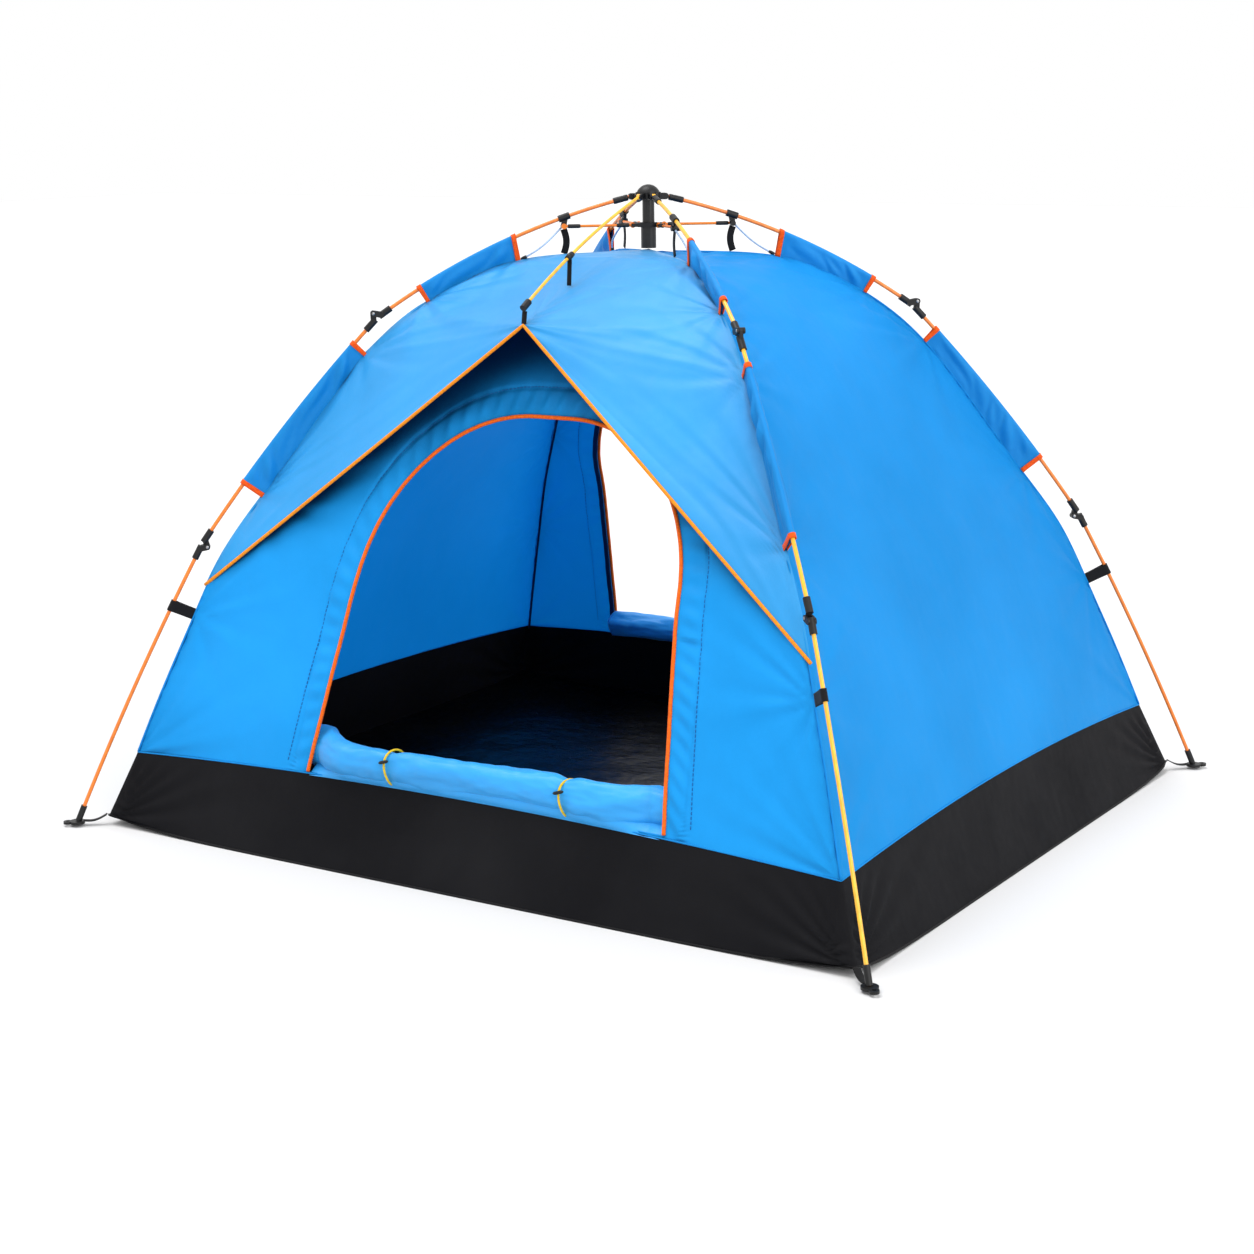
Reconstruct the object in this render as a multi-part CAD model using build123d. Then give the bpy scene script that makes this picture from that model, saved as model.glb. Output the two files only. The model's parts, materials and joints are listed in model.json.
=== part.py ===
from build123d import *
import math
import os

# Pop-up dome tent. Millimetres, +Z up, door side faces -Y, origin on the ground under the hub.

# Plan and height
PLAN_HALF_WIDTH = 1000.0  # foot centre line, across the door
PLAN_HALF_DEPTH = 861.0  # foot centre line, front to back
HUB_PIVOT_Z = 1382.0
FOOT_BOTTOM_Z = 6.0
PLAN_ANGLE = math.degrees(math.atan2(PLAN_HALF_DEPTH, PLAN_HALF_WIDTH))
FOOT_RADIUS = math.hypot(PLAN_HALF_WIDTH, PLAN_HALF_DEPTH)
LEGS = {
    "front_left": 180 + PLAN_ANGLE,
    "back_right": PLAN_ANGLE,
    "front_right": -PLAN_ANGLE,
    "back_left": 180 - PLAN_ANGLE,
}

# Leg line in its own vertical plane, from the hub pivot to the foot
HUB_PIVOT_R = 38.0
KNEE_1_R = 0.4595 * FOOT_RADIUS
KNEE_1_Z = HUB_PIVOT_Z - 254.0
KNEE_2_R = 0.7655 * FOOT_RADIUS
KNEE_2_Z = 0.461 * HUB_PIVOT_Z
POLE_D = 8.5
UPPER_SAG = 30.0
MIDDLE_SAG = 12.0
LOWER_SAG = 8.0

# Knee joints
KNEE_PIN_OFFSET = 13.0
KNEE_PIN_D = 5.0
KNEE_FIT = 0.1
KNEE_EYE_R = 6.5
KNEE_SOCKET_D = 15.0
KNEE_SOCKET_START = 5.0
KNEE_SOCKET_LENGTH = 32.0
POLE_SEAT = 14.0  # how far short of the knee point a pole stops
TONGUE_HALF = 3.8
SEAT_FIT = 0.06
CHEEK_IN = 4.6
CHEEK_OUT = 8.6

# Hub
HUB_R = 26.0
HUB_BELOW = 5.0
HUB_ABOVE = 8.0
HUB_DOME_HEIGHT = 18.0
HUB_ARM_R = 7.0
HUB_PIN_D = 4.0
POLE_EYE_R = 6.0
RIB_COUNT = 10
RIB_D = 6.0
RIB_RAISE = 6.0  # foot of the ribs above the underside
INNER_TUBE_D = 27.0
INNER_TUBE_WALL = 2.0
INNER_TUBE_BOTTOM = 92.0  # below the hub pivots
OUTER_TUBE_D = 34.0
TUBE_FIT = 0.1
LOWER_HUB_DROP = 62.0  # strut pivots below the hub pivots
LOWER_HUB_R = 24.0
LOWER_HUB_HALF = 5.0
OUTER_TUBE_LENGTH = 46.0
STRUT_PIVOT_R = 37.0
STRUT_PIVOT_D = 4.0
STRUT_SIDE = 11.5  # the strut runs beside the leg plane
STRUT_HALF = 2.5
STRUT_D = 6.0
STRUT_START = 5.0  # from an eye's centre to the strut's rod
LUG_IN = 14.5
LUG_OUT = 18.5
LUG_R = 4.0

# T-shaped connector that a strut holds the upper pole by
TEE_ALONG = 0.25  # share of the upper pole
TEE_R = 190.0
TEE_DROP = 62.0  # strut eye below the hub pivots
TEE_D = 15.6
TEE_LENGTH = 26.0

# Feet
FOOT_SOCKET_D = 14.0
FOOT_SOCKET_LENGTH = 44.0
FOOT_PAD_R = 17.0
FOOT_PAD_T = 6.0
PEG_HOLE_D = 9.0
PEG_LOBE_R = 10.0
PEG_LOBE_OUT = 21.0

# Awning rod
AWNING_ROD_D = 7.0
AWNING_ROD_TIP_R = 490.0
AWNING_ROD_TIP_Z = HUB_PIVOT_Z - 210.0
AWNING_ROD_SAG = 14.0
AWNING_CAP_D = 15.0
AWNING_CAP_LENGTH = 24.0
AWNING_CAP_END = 3.0

# Fabric shell: outer surface along the corner seams, as (radius, height)
TOP_Z = HUB_PIVOT_Z - 120.0
BAND_TOP_Z = 166.0
FLOOR_T = 2.0
SHELL_T = 2.5
BAND_BOTTOM_R = FOOT_RADIUS - 62.0
BAND_TOP_R = FOOT_RADIUS - 143.0
SHELL_LINE = [
    (0.0, TOP_Z),
    (160.0, TOP_Z - 5.0),
    (0.243 * FOOT_RADIUS, TOP_Z - 24.0),
    (0.368 * FOOT_RADIUS, TOP_Z - 97.0),
    (KNEE_1_R - 24.0, KNEE_1_Z - 32.0),
    (KNEE_1_R + 125.0, KNEE_1_Z - 200.0),
    (KNEE_2_R - 134.0, KNEE_2_Z + 97.0),
    (KNEE_2_R - 43.0, KNEE_2_Z - 27.0),
    (KNEE_2_R + 25.0, KNEE_2_Z - 160.0),
    (KNEE_2_R + 105.0, KNEE_2_Z - 330.0),
    (BAND_TOP_R, BAND_TOP_Z),
]

# Door openings; each half width is at the sill, the sides lean in by DOOR_LEAN at the top,
# and seen from outside each opening sits DOOR_SHIFT to the right of the wall's middle
DOOR_BOTTOM_Z = 190.0
DOOR_TOP_Z = 948.0
FRONT_DOOR_HALF = 0.447 * PLAN_HALF_WIDTH
BACK_DOOR_HALF = 0.537 * PLAN_HALF_WIDTH
DOOR_LEAN = 87.0
DOOR_SHIFT = 50.0
DOOR_CORNER_R = 350.0
PIPING_W = 6.0
PIPING_STAND = 2.0  # how far the piping stands out of the cloth

# Awning
AWNING_TIP = (0.0, -490.0, KNEE_1_Z + 10.0)
AWNING_T = 2.0
AWNING_LIFT = 6.0
AWNING_ASIDE = 2.5  # the awning is sewn beside the sleeves' webs
AWNING_END_Z = 540.0
AWNING_STATIONS = 14
AWNING_PIPING_D = 5.0

# Rolled doors, ties, straps and sleeves
FRONT_ROLL_R = 36.0
BACK_ROLL_R = 26.0
ROLL_GAP = 3.0
TIE_T = 2.0
TIE_W = 18.0
TIE_SPACING = 220.0
SLEEVE_D = 15.0
SLEEVE_BORE_D = 10.5
SLEEVE_WEB_HALF = 1.0
WEB_LIFT = 3.0  # from the seam line to the edge of a web
WEB_STATIONS = 8
SEAM_SPOTS = 400
UPPER_SLEEVE = (0.44, 0.82)
MIDDLE_SLEEVE = (0.12, 0.74)
STRAP_T = 1.5
HANGER_W = 16.0
POLE_LOOP = (0.205, 0.237)
CORNER_STRAP_W = 20.0
STRAP_SEAM = 0.1
CLEAR = 0.5


def heading(degrees):
    """Unit vector in the leg plane, measured up from outward."""
    a = math.radians(degrees)
    return Vector(math.cos(a), 0, math.sin(a))


def outward(direction):
    """The outer-side normal of a pole that runs along direction."""
    return Vector(-direction.Z, 0, direction.X)


def angle_of(direction):
    return math.degrees(math.atan2(direction.Z, direction.X))


HUB_PIVOT = Vector(HUB_PIVOT_R, 0, HUB_PIVOT_Z)
KNEE_1 = Vector(KNEE_1_R, 0, KNEE_1_Z)
KNEE_2 = Vector(KNEE_2_R, 0, KNEE_2_Z)
FOOT = Vector(FOOT_RADIUS, 0, FOOT_BOTTOM_Z)
TEE_EYE = Vector(TEE_R, 0, HUB_PIVOT_Z - TEE_DROP)


def bowed(a, b, sag):
    """The line of a pole that is flexed outward between a and b."""
    chord = (b - a).normalized()
    middle = (a + b) * 0.5 + outward(chord) * sag
    return ThreePointArc(a, middle, b)


UPPER_LINE = bowed(HUB_PIVOT, KNEE_1, UPPER_SAG)
MIDDLE_LINE = bowed(KNEE_1, KNEE_2, MIDDLE_SAG)
LOWER_LINE = bowed(KNEE_2, FOOT, LOWER_SAG)
KNEE_1_AXIS = ((UPPER_LINE % 1) + (MIDDLE_LINE % 0)).normalized()
KNEE_2_AXIS = ((MIDDLE_LINE % 1) + (LOWER_LINE % 0)).normalized()
KNEE_1_PIN = KNEE_1 + outward(KNEE_1_AXIS) * KNEE_PIN_OFFSET
KNEE_2_PIN = KNEE_2 - outward(KNEE_2_AXIS) * KNEE_PIN_OFFSET


def rod(line, diameter, start, end):
    """A round rod along part of a line, start and end in millimetres from its ends."""
    part = line.trim(start / line.length, 1 - end / line.length)
    return sweep(Plane(origin=part @ 0, z_dir=part % 0) * Circle(diameter / 2), path=part)


def cylinder_between(a, b, diameter):
    plane = Plane(origin=a, z_dir=b - a)
    return extrude(plane * Circle(diameter / 2), (b - a).length)


def cross_cylinder(centre, diameter, low, high):
    """A cylinder across the leg plane, from low to high on the side axis."""
    plane = Plane(origin=centre + Vector(0, low, 0), z_dir=(0, 1, 0))
    return extrude(plane * Circle(diameter / 2), high - low)


def cross_link(a, b, radius, low, high):
    """A round-ended flat bar between two points of the leg plane."""
    plane = Plane(origin=(a + b) * 0.5 + Vector(0, low, 0), x_dir=b - a, z_dir=(0, 1, 0))
    outline = plane * SlotCenterToCenter((b - a).length, 2 * radius)
    return extrude(outline, high - low)


def spot_on(line, distance, from_start):
    share = distance / line.length
    return line @ (share if from_start else 1 - share)


def knee_socket(line, from_start):
    """The round socket of a knee half on one end of a pole's line, the pole's seat and the blade's root."""
    near = spot_on(line, KNEE_SOCKET_START, from_start)
    far = spot_on(line, KNEE_SOCKET_START + KNEE_SOCKET_LENGTH, from_start)
    along = (far - near).normalized()
    body = cylinder_between(near, far, KNEE_SOCKET_D)
    bottom = spot_on(line, POLE_SEAT, from_start) - along * SEAT_FIT
    seat = cylinder_between(bottom, far + along, POLE_D + 2 * SEAT_FIT)
    return body, seat, near + along * KNEE_EYE_R


def knee_clevis(line, from_start, pin):
    """The forked half of a knee, with its hinge pin."""
    body, seat, root = knee_socket(line, from_start)
    for low, high in ((CHEEK_IN, CHEEK_OUT), (-CHEEK_OUT, -CHEEK_IN)):
        body += cross_link(pin, root, KNEE_EYE_R, low, high)
    body += cross_cylinder(pin, KNEE_PIN_D, -CHEEK_OUT, CHEEK_OUT)
    return body - seat


def knee_tongue(line, from_start, pin):
    """The flat half of a knee, with the bore for the pin."""
    body, seat, root = knee_socket(line, from_start)
    body += cross_link(pin, root, KNEE_EYE_R, -TONGUE_HALF, TONGUE_HALF)
    bore = cross_cylinder(pin, KNEE_PIN_D + 2 * KNEE_FIT, -CHEEK_OUT, CHEEK_OUT)
    return body - bore - seat


def upper_pole():
    body = rod(UPPER_LINE, POLE_D, 0, POLE_SEAT)
    body += cross_cylinder(HUB_PIVOT, 2 * POLE_EYE_R, -TONGUE_HALF, TONGUE_HALF)
    return body - cross_cylinder(HUB_PIVOT, HUB_PIN_D + 2 * KNEE_FIT, -CHEEK_OUT, CHEEK_OUT)


def middle_pole():
    return rod(MIDDLE_LINE, POLE_D, POLE_SEAT, POLE_SEAT)


def lower_pole():
    return rod(LOWER_LINE, POLE_D, POLE_SEAT, FOOT_PAD_T)


def upper_clevis():
    return knee_clevis(UPPER_LINE, False, KNEE_1_PIN)


def middle_tongues():
    first = knee_tongue(MIDDLE_LINE, True, KNEE_1_PIN)
    second = knee_tongue(MIDDLE_LINE, False, KNEE_2_PIN)
    return Compound([first, second])


def lower_clevis():
    return knee_clevis(LOWER_LINE, True, KNEE_2_PIN)


def tee_connector():
    """A ring on the upper pole with a foot that the strut's eye bears on."""
    centre = UPPER_LINE @ TEE_ALONG
    along = UPPER_LINE % TEE_ALONG
    half = along * (TEE_LENGTH / 2)
    body = cylinder_between(centre - half, centre + half, TEE_D)
    body += cross_link(centre - along * 3, TEE_EYE, POLE_EYE_R, -TONGUE_HALF, TONGUE_HALF)
    side = STRUT_SIDE - STRUT_D / 2 - CLEAR
    body += cross_cylinder(TEE_EYE, 2 * POLE_EYE_R, -side, side)
    return body - upper_pole()


def strut():
    pivot = Vector(STRUT_PIVOT_R, 0, HUB_PIVOT_Z - LOWER_HUB_DROP)
    side = Vector(0, STRUT_SIDE, 0)
    short = (TEE_EYE - pivot).normalized() * STRUT_START
    body = cylinder_between(pivot + short + side, TEE_EYE - short + side, STRUT_D)
    low, high = STRUT_SIDE - STRUT_HALF, STRUT_SIDE + STRUT_HALF
    for eye in (pivot, TEE_EYE):
        body += cross_cylinder(eye, 2 * POLE_EYE_R, low, high)
    return body - cross_cylinder(pivot, STRUT_PIVOT_D + 2 * KNEE_FIT, low - 1, high + 1)


def foot():
    """Socket on the pole's end, round pad on the ground and a lobe with the peg hole."""
    low = spot_on(LOWER_LINE, FOOT_PAD_T, False)
    high = spot_on(LOWER_LINE, FOOT_SOCKET_LENGTH, False)
    along = (high - low).normalized()
    body = cylinder_between(low, high, FOOT_SOCKET_D)
    base = Plane(origin=(FOOT_RADIUS, 0, FOOT_BOTTOM_Z))
    body += extrude(base * Circle(FOOT_PAD_R), FOOT_PAD_T)
    body += extrude(base * Pos(PEG_LOBE_OUT, 0) * Circle(PEG_LOBE_R), FOOT_PAD_T)
    body -= extrude(base * Pos(PEG_LOBE_OUT, 0) * Circle(PEG_HOLE_D / 2), 2 * FOOT_PAD_T)
    seat = cylinder_between(low - along * SEAT_FIT, high + along, POLE_D + 2 * SEAT_FIT)
    return body - seat


def hub_arm(azimuth):
    """The forked arm that one pole hangs from."""
    inner = Vector(HUB_R / 2, 0, HUB_PIVOT_Z)
    arm = cross_link(inner, HUB_PIVOT, HUB_ARM_R, -CHEEK_OUT, CHEEK_OUT)
    low = HUB_PIVOT_Z - HUB_ARM_R
    slot = Box(2 * HUB_R, 2 * CHEEK_IN, 3 * HUB_ARM_R, align=(Align.MIN, Align.CENTER, Align.MIN))
    arm -= Pos(HUB_PIVOT_R - POLE_EYE_R - 2 * CLEAR, 0, low - 1) * slot
    arm += cross_cylinder(HUB_PIVOT, HUB_PIN_D, -CHEEK_OUT, CHEEK_OUT)
    return arm.rotate(Axis.Z, azimuth)


def post(x, y, bottom, radius, height):
    """An upright cylinder that stands on bottom."""
    return Pos(x, y, bottom) * Cylinder(radius, height, align=(Align.CENTER, Align.CENTER, Align.MIN))


def hub_cap():
    """The ribbed disc and low dome of the upper hub."""
    body = post(0, 0, HUB_PIVOT_Z - HUB_BELOW, HUB_R, HUB_BELOW + HUB_ABOVE)
    dome_r = (HUB_R**2 + HUB_DOME_HEIGHT**2) / (2 * HUB_DOME_HEIGHT)
    top = HUB_PIVOT_Z + HUB_ABOVE
    dome = Pos(0, 0, top + HUB_DOME_HEIGHT - dome_r) * Sphere(dome_r)
    body += dome & post(0, 0, top, HUB_R, 2 * HUB_R)
    foot_z = HUB_PIVOT_Z - HUB_BELOW + RIB_RAISE
    for i in range(RIB_COUNT):
        a = math.radians(360 / RIB_COUNT * (i + 0.5))
        body += post(HUB_R * math.cos(a), HUB_R * math.sin(a), foot_z, RIB_D / 2, HUB_ABOVE)
    return body


def upper_hub():
    body = hub_cap()
    for azimuth in list(LEGS.values()) + [-90]:
        body += hub_arm(azimuth)
    gap = Plane(origin=(0, 0, HUB_PIVOT_Z - HUB_ARM_R - 1))
    slot = extrude(gap * Circle(LOWER_HUB_R + 2 * CLEAR), HUB_ARM_R + 1 - HUB_BELOW)
    return body - slot


def tube(diameter, bore, bottom, top):
    plane = Plane(origin=(0, 0, bottom))
    return extrude(plane * (Circle(diameter / 2) - Circle(bore / 2)), top - bottom)


def inner_tube():
    bore = INNER_TUBE_D - 2 * INNER_TUBE_WALL
    return tube(INNER_TUBE_D, bore, HUB_PIVOT_Z - INNER_TUBE_BOTTOM, HUB_PIVOT_Z - HUB_BELOW)


def lower_hub():
    pivot_z = HUB_PIVOT_Z - LOWER_HUB_DROP
    bore = INNER_TUBE_D + 2 * TUBE_FIT
    body = tube(2 * LOWER_HUB_R, bore, pivot_z - LOWER_HUB_HALF, pivot_z + LOWER_HUB_HALF)
    inner = Vector(LOWER_HUB_R - POLE_EYE_R, 0, pivot_z)
    pivot = Vector(STRUT_PIVOT_R, 0, pivot_z)
    for azimuth in LEGS.values():
        lug = cross_link(inner, pivot, LUG_R, LUG_IN, LUG_OUT)
        lug += cross_cylinder(pivot, STRUT_PIVOT_D, STRUT_SIDE - STRUT_HALF, LUG_OUT)
        body += lug.rotate(Axis.Z, azimuth)
    return body


def outer_tube():
    top = HUB_PIVOT_Z - LOWER_HUB_DROP - LOWER_HUB_HALF
    return tube(OUTER_TUBE_D, INNER_TUBE_D + 2 * TUBE_FIT, top - OUTER_TUBE_LENGTH, top)


def awning_line():
    tip = Vector(AWNING_ROD_TIP_R, 0, AWNING_ROD_TIP_Z)
    return bowed(HUB_PIVOT, tip, AWNING_ROD_SAG)


def awning_rod():
    line = awning_line()
    body = rod(line, AWNING_ROD_D, 0, AWNING_CAP_END)
    body += cross_cylinder(HUB_PIVOT, 2 * POLE_EYE_R, -TONGUE_HALF, TONGUE_HALF)
    return body - cross_cylinder(HUB_PIVOT, HUB_PIN_D + 2 * KNEE_FIT, -CHEEK_OUT, CHEEK_OUT)


def awning_rod_cap():
    line = awning_line()
    open_end = spot_on(line, AWNING_CAP_LENGTH, False)
    bottom = spot_on(line, AWNING_CAP_END, False)
    along = (bottom - open_end).normalized()
    body = cylinder_between(open_end, line @ 1, AWNING_CAP_D)
    bore = AWNING_ROD_D + 2 * SEAT_FIT
    return body - cylinder_between(open_end - along, bottom + along * SEAT_FIT, bore)


def shell_section(factor, outer, inner):
    """Band under the shell line, scaled to one wall, from outer to inner offset inward."""
    points = [Vector(r * factor, z) for r, z in SHELL_LINE]
    curves = []
    for offset in (outer, inner):
        moved = []
        for i, p in enumerate(points):
            a = points[max(i - 1, 0)]
            b = points[min(i + 1, len(points) - 1)]
            along = (b - a).normalized()
            inward = Vector(along.Y, -along.X)
            if i == 0:
                inward = Vector(0, -1)
            if i == len(points) - 1:
                inward = Vector(-1, 0)
            moved.append(p + inward * offset)
        moved = [Vector(p.X, 0, p.Y) for p in moved]
        curves.append(Spline(*moved))
    closing = [Line(curves[0] @ 0, curves[1] @ 0), Line(curves[0] @ 1, curves[1] @ 1)]
    return make_face(curves + closing)


def wall_wedge(half_angle):
    far = 2 * FOOT_RADIUS
    side = far * math.tan(math.radians(half_angle))
    outline = make_face(Polyline((0, 0), (far, -side), (far, side), close=True))
    return extrude(outline, 2 * HUB_PIVOT_Z)


def wall(factor, half_angle, outer=0.0, inner=SHELL_T):
    """One wall, facing +X: a cloth band as wide as the tent, cut at the corner seams."""
    band = extrude(shell_section(factor, outer, inner), FOOT_RADIUS, both=True)
    return band & wall_wedge(half_angle)


def door_block(half, grow):
    """A door opening's outline, as a block across a wall that faces +X."""
    bottom = DOOR_BOTTOM_Z - grow
    top = DOOR_TOP_Z + grow
    low = half + grow
    high = low - DOOR_LEAN
    outline = Polyline((-low, bottom), (low, bottom), (high, top), (-high, top), close=True)
    face = make_face(outline)
    corners = face.vertices().sort_by(Axis.Y)[2:]
    face = fillet(corners, DOOR_CORNER_R + grow)
    placed = Plane(origin=(FOOT_RADIUS / 5, DOOR_SHIFT, 0), x_dir=(0, 1, 0), z_dir=(1, 0, 0)) * face
    return extrude(placed, FOOT_RADIUS)


SIDE = math.cos(math.radians(PLAN_ANGLE))
FACE = math.sin(math.radians(PLAN_ANGLE))


def side_wall():
    return wall(SIDE, PLAN_ANGLE)


def door_wall(half):
    return wall(FACE, 90 - PLAN_ANGLE) - door_block(half, PIPING_W)


def door_piping(half):
    band = wall(FACE, 90 - PLAN_ANGLE, -PIPING_STAND, SHELL_T + PIPING_STAND)
    return band & (door_block(half, PIPING_W) - door_block(half, 0))


def floor_outline(radius):
    return Rectangle(2 * radius * SIDE, 2 * radius * FACE)


def groundsheet():
    return extrude(floor_outline(BAND_BOTTOM_R), FLOOR_T)


def band_block(inset):
    """The solid between the groundsheet and the foot of the walls."""
    low = Plane(origin=(0, 0, FLOOR_T)) * floor_outline(BAND_BOTTOM_R - inset)
    high = Plane(origin=(0, 0, BAND_TOP_Z)) * floor_outline(BAND_TOP_R - inset)
    return loft([low, high])


def base_band():
    """The waterproof band around the foot of the walls."""
    return band_block(0) - band_block(2 * SHELL_T)


def seam_points():
    """Points down a corner seam that the awning is sewn to, as (radius, height)."""
    spots = [p for p in seam_spots() if p.X >= SHELL_LINE[2][0] and p.Z >= AWNING_END_Z]
    last = len(spots) - 1
    return [spots[round(last * i / (AWNING_STATIONS - 1))] for i in range(AWNING_STATIONS)]


def closed_sheet(loop, hub, drop):
    """A thin solid: triangles from hub to a loop of points, and the same again lower down."""
    low = [p - Vector(0, 0, drop) for p in loop]
    low_hub = hub - Vector(0, 0, drop)
    faces = []
    for i in range(len(loop) - 1):
        faces.append(Face(Wire.make_polygon([hub, loop[i], loop[i + 1]])))
        faces.append(Face(Wire.make_polygon([low_hub, low[i + 1], low[i]])))
        faces.append(Face(Wire.make_polygon([loop[i], low[i], low[i + 1], loop[i + 1]])))
    for p, q in ((loop[0], low[0]), (loop[-1], low[-1])):
        faces.append(Face(Wire.make_polygon([hub, p, q, low_hub])))
    return Solid(Shell(faces))


def awning():
    """The front of the top sheet, drawn out to a point that the awning rod holds."""
    right = []
    for p in seam_points():
        r = p.X + AWNING_LIFT / 2
        x = r * SIDE - AWNING_ASIDE * FACE
        y = -r * FACE - AWNING_ASIDE * SIDE
        right.append(Vector(x, y, p.Z + AWNING_LIFT))
    left = [Vector(-p.X, p.Y, p.Z) for p in reversed(right)]
    return closed_sheet(left + right, Vector(*AWNING_TIP), AWNING_T)


def awning_piping():
    drop = Vector(0, -AWNING_PIPING_D / 2, -AWNING_T / 2)
    tip = Vector(*AWNING_TIP) + drop
    end = seam_points()[-1]
    edges = []
    for side in (-1, 1):
        corner = Vector(side * end.X * SIDE, -end.X * FACE, end.Z + AWNING_LIFT) + drop
        along = (corner - tip).normalized()
        edges.append(cylinder_between(tip + along * 4, corner - along * 4, AWNING_PIPING_D) - awning())
    return Compound(edges)


def seam_spots():
    """Close points down a corner seam, in the leg plane."""
    line = Spline(*[Vector(r, 0, z) for r, z in SHELL_LINE])
    return [line @ (i / SEAM_SPOTS) for i in range(SEAM_SPOTS + 1)]


def wall_radius_at(z):
    """Corner seam radius at a height, for placing what lies on a sill."""
    return min(seam_spots(), key=lambda p: abs(p.Z - z)).X


def roll(door_half, radius, inset):
    """A rolled-up door lying along the sill of a wall that faces +X."""
    z = DOOR_BOTTOM_Z + radius + ROLL_GAP
    x = wall_radius_at(z) * FACE - inset
    half = door_half - radius
    return cylinder_between(Vector(x, DOOR_SHIFT - half, z), Vector(x, DOOR_SHIFT + half, z), 2 * radius)


def door_ties():
    z = DOOR_BOTTOM_Z + FRONT_ROLL_R + ROLL_GAP
    x = wall_radius_at(z) * FACE
    ring = Circle(FRONT_ROLL_R + TIE_T) - Circle(FRONT_ROLL_R + STRAP_SEAM)
    ties = []
    for y in (DOOR_SHIFT - TIE_SPACING, DOOR_SHIFT + TIE_SPACING):
        plane = Plane(origin=(x, y - TIE_W / 2, z), z_dir=(0, 1, 0))
        ties.append(extrude(plane * ring, TIE_W))
    return Compound(ties)


def sleeve(line, share, outer, bore, web_half):
    """A cloth sleeve on a pole, with the web that joins it to the corner seam."""
    length = line.length
    part = line.trim(share[0], share[1])
    plane = Plane(origin=part @ 0, z_dir=part % 0)
    body = sweep(plane * Circle(outer / 2), path=part)
    spots = seam_spots()
    first = min(spots, key=lambda p: (p - part @ 0).length)
    last = min(spots, key=lambda p: (p - part @ 1).length)
    lift = (part @ 0.5 - (first + last) * 0.5).normalized() * WEB_LIFT
    under = [p + lift for p in spots if first.X <= p.X <= last.X]
    step = max(1, len(under) // WEB_STATIONS)
    under = [under[-1]] + under[::-step][1:-1] + [under[0]]
    top = [part @ (i / WEB_STATIONS) for i in range(WEB_STATIONS + 1)]
    outline = Polyline(*top, *under, close=True)
    web = extrude(make_face(outline), web_half, both=True)
    hole = rod(line, bore, share[0] * length - 2, (1 - share[1]) * length - 2)
    return body + web - hole


def hanger_strap():
    """Webbing from a T-connector down to the top of the shell."""
    top = TEE_EYE.Z - POLE_EYE_R - CLEAR
    bottom = TOP_Z + CLEAR
    strip = Box(STRAP_T, HANGER_W, top - bottom, align=(Align.CENTER, Align.CENTER, Align.MIN))
    return Pos(TEE_R, 0, bottom) * strip


def corner_strap():
    """Webbing from the corner of the base to the foot."""
    start = BAND_BOTTOM_R + STRAP_SEAM
    length = FOOT_RADIUS - FOOT_PAD_R - CLEAR - start
    strip = Box(length, CORNER_STRAP_W, STRAP_T, align=(Align.MIN, Align.CENTER, Align.MIN))
    return Pos(start, 0, 0) * strip


def around(shape):
    """The same piece at all four corners, as one node."""
    return Compound([shape.rotate(Axis.Z, a) for a in LEGS.values()])


def save(shape, name):
    export_step(shape, f"parts/{name}.step")


os.makedirs("parts", exist_ok=True)

LEG_PIECES = {
    "upper_pole": upper_pole(),
    "tee_connector": tee_connector(),
    "upper_clevis": upper_clevis(),
    "middle_pole": middle_pole(),
    "middle_tongues": middle_tongues(),
    "lower_clevis": lower_clevis(),
    "lower_pole": lower_pole(),
    "foot": foot(),
    "strut": strut(),
}
for leg, azimuth in LEGS.items():
    for name, piece in LEG_PIECES.items():
        save(piece.rotate(Axis.Z, azimuth), f"{name}_{leg}")

save(upper_hub(), "upper_hub")
save(inner_tube(), "inner_tube")
save(lower_hub(), "lower_hub")
save(outer_tube(), "outer_tube")
save(awning_rod().rotate(Axis.Z, -90), "awning_rod")
save(awning_rod_cap().rotate(Axis.Z, -90), "awning_rod_cap")

save(groundsheet(), "groundsheet")
save(base_band(), "base_band")
save(side_wall(), "wall_right")
save(side_wall().rotate(Axis.Z, 180), "wall_left")
save(door_wall(FRONT_DOOR_HALF).rotate(Axis.Z, -90), "wall_front")
save(door_wall(BACK_DOOR_HALF).rotate(Axis.Z, 90), "wall_back")
save(door_piping(FRONT_DOOR_HALF).rotate(Axis.Z, -90), "front_door_piping")
save(door_piping(BACK_DOOR_HALF).rotate(Axis.Z, 90), "back_door_piping")
save(awning(), "awning")
save(awning_piping(), "awning_piping")
save(roll(FRONT_DOOR_HALF, FRONT_ROLL_R, 0).rotate(Axis.Z, -90), "front_door_roll")
save(roll(BACK_DOOR_HALF, BACK_ROLL_R, BACK_ROLL_R).rotate(Axis.Z, 90), "back_door_roll")
save(door_ties().rotate(Axis.Z, -90), "door_ties")
SLEEVE_CUT = (SLEEVE_D, SLEEVE_BORE_D, SLEEVE_WEB_HALF)
LOOP_CUT = (SLEEVE_BORE_D + 2 * STRAP_T, SLEEVE_BORE_D, STRAP_T / 2)
save(around(sleeve(UPPER_LINE, UPPER_SLEEVE, *SLEEVE_CUT)), "upper_sleeves")
save(around(sleeve(MIDDLE_LINE, MIDDLE_SLEEVE, *SLEEVE_CUT)), "middle_sleeves")
save(around(hanger_strap()), "hanger_straps")
save(around(sleeve(LOWER_LINE, POLE_LOOP, *LOOP_CUT)), "pole_loops")
save(around(corner_strap()), "corner_straps")
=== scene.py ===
import json
import math

import bmesh
import bpy
import numpy as np
from mathutils import Matrix, Vector, noise


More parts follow.
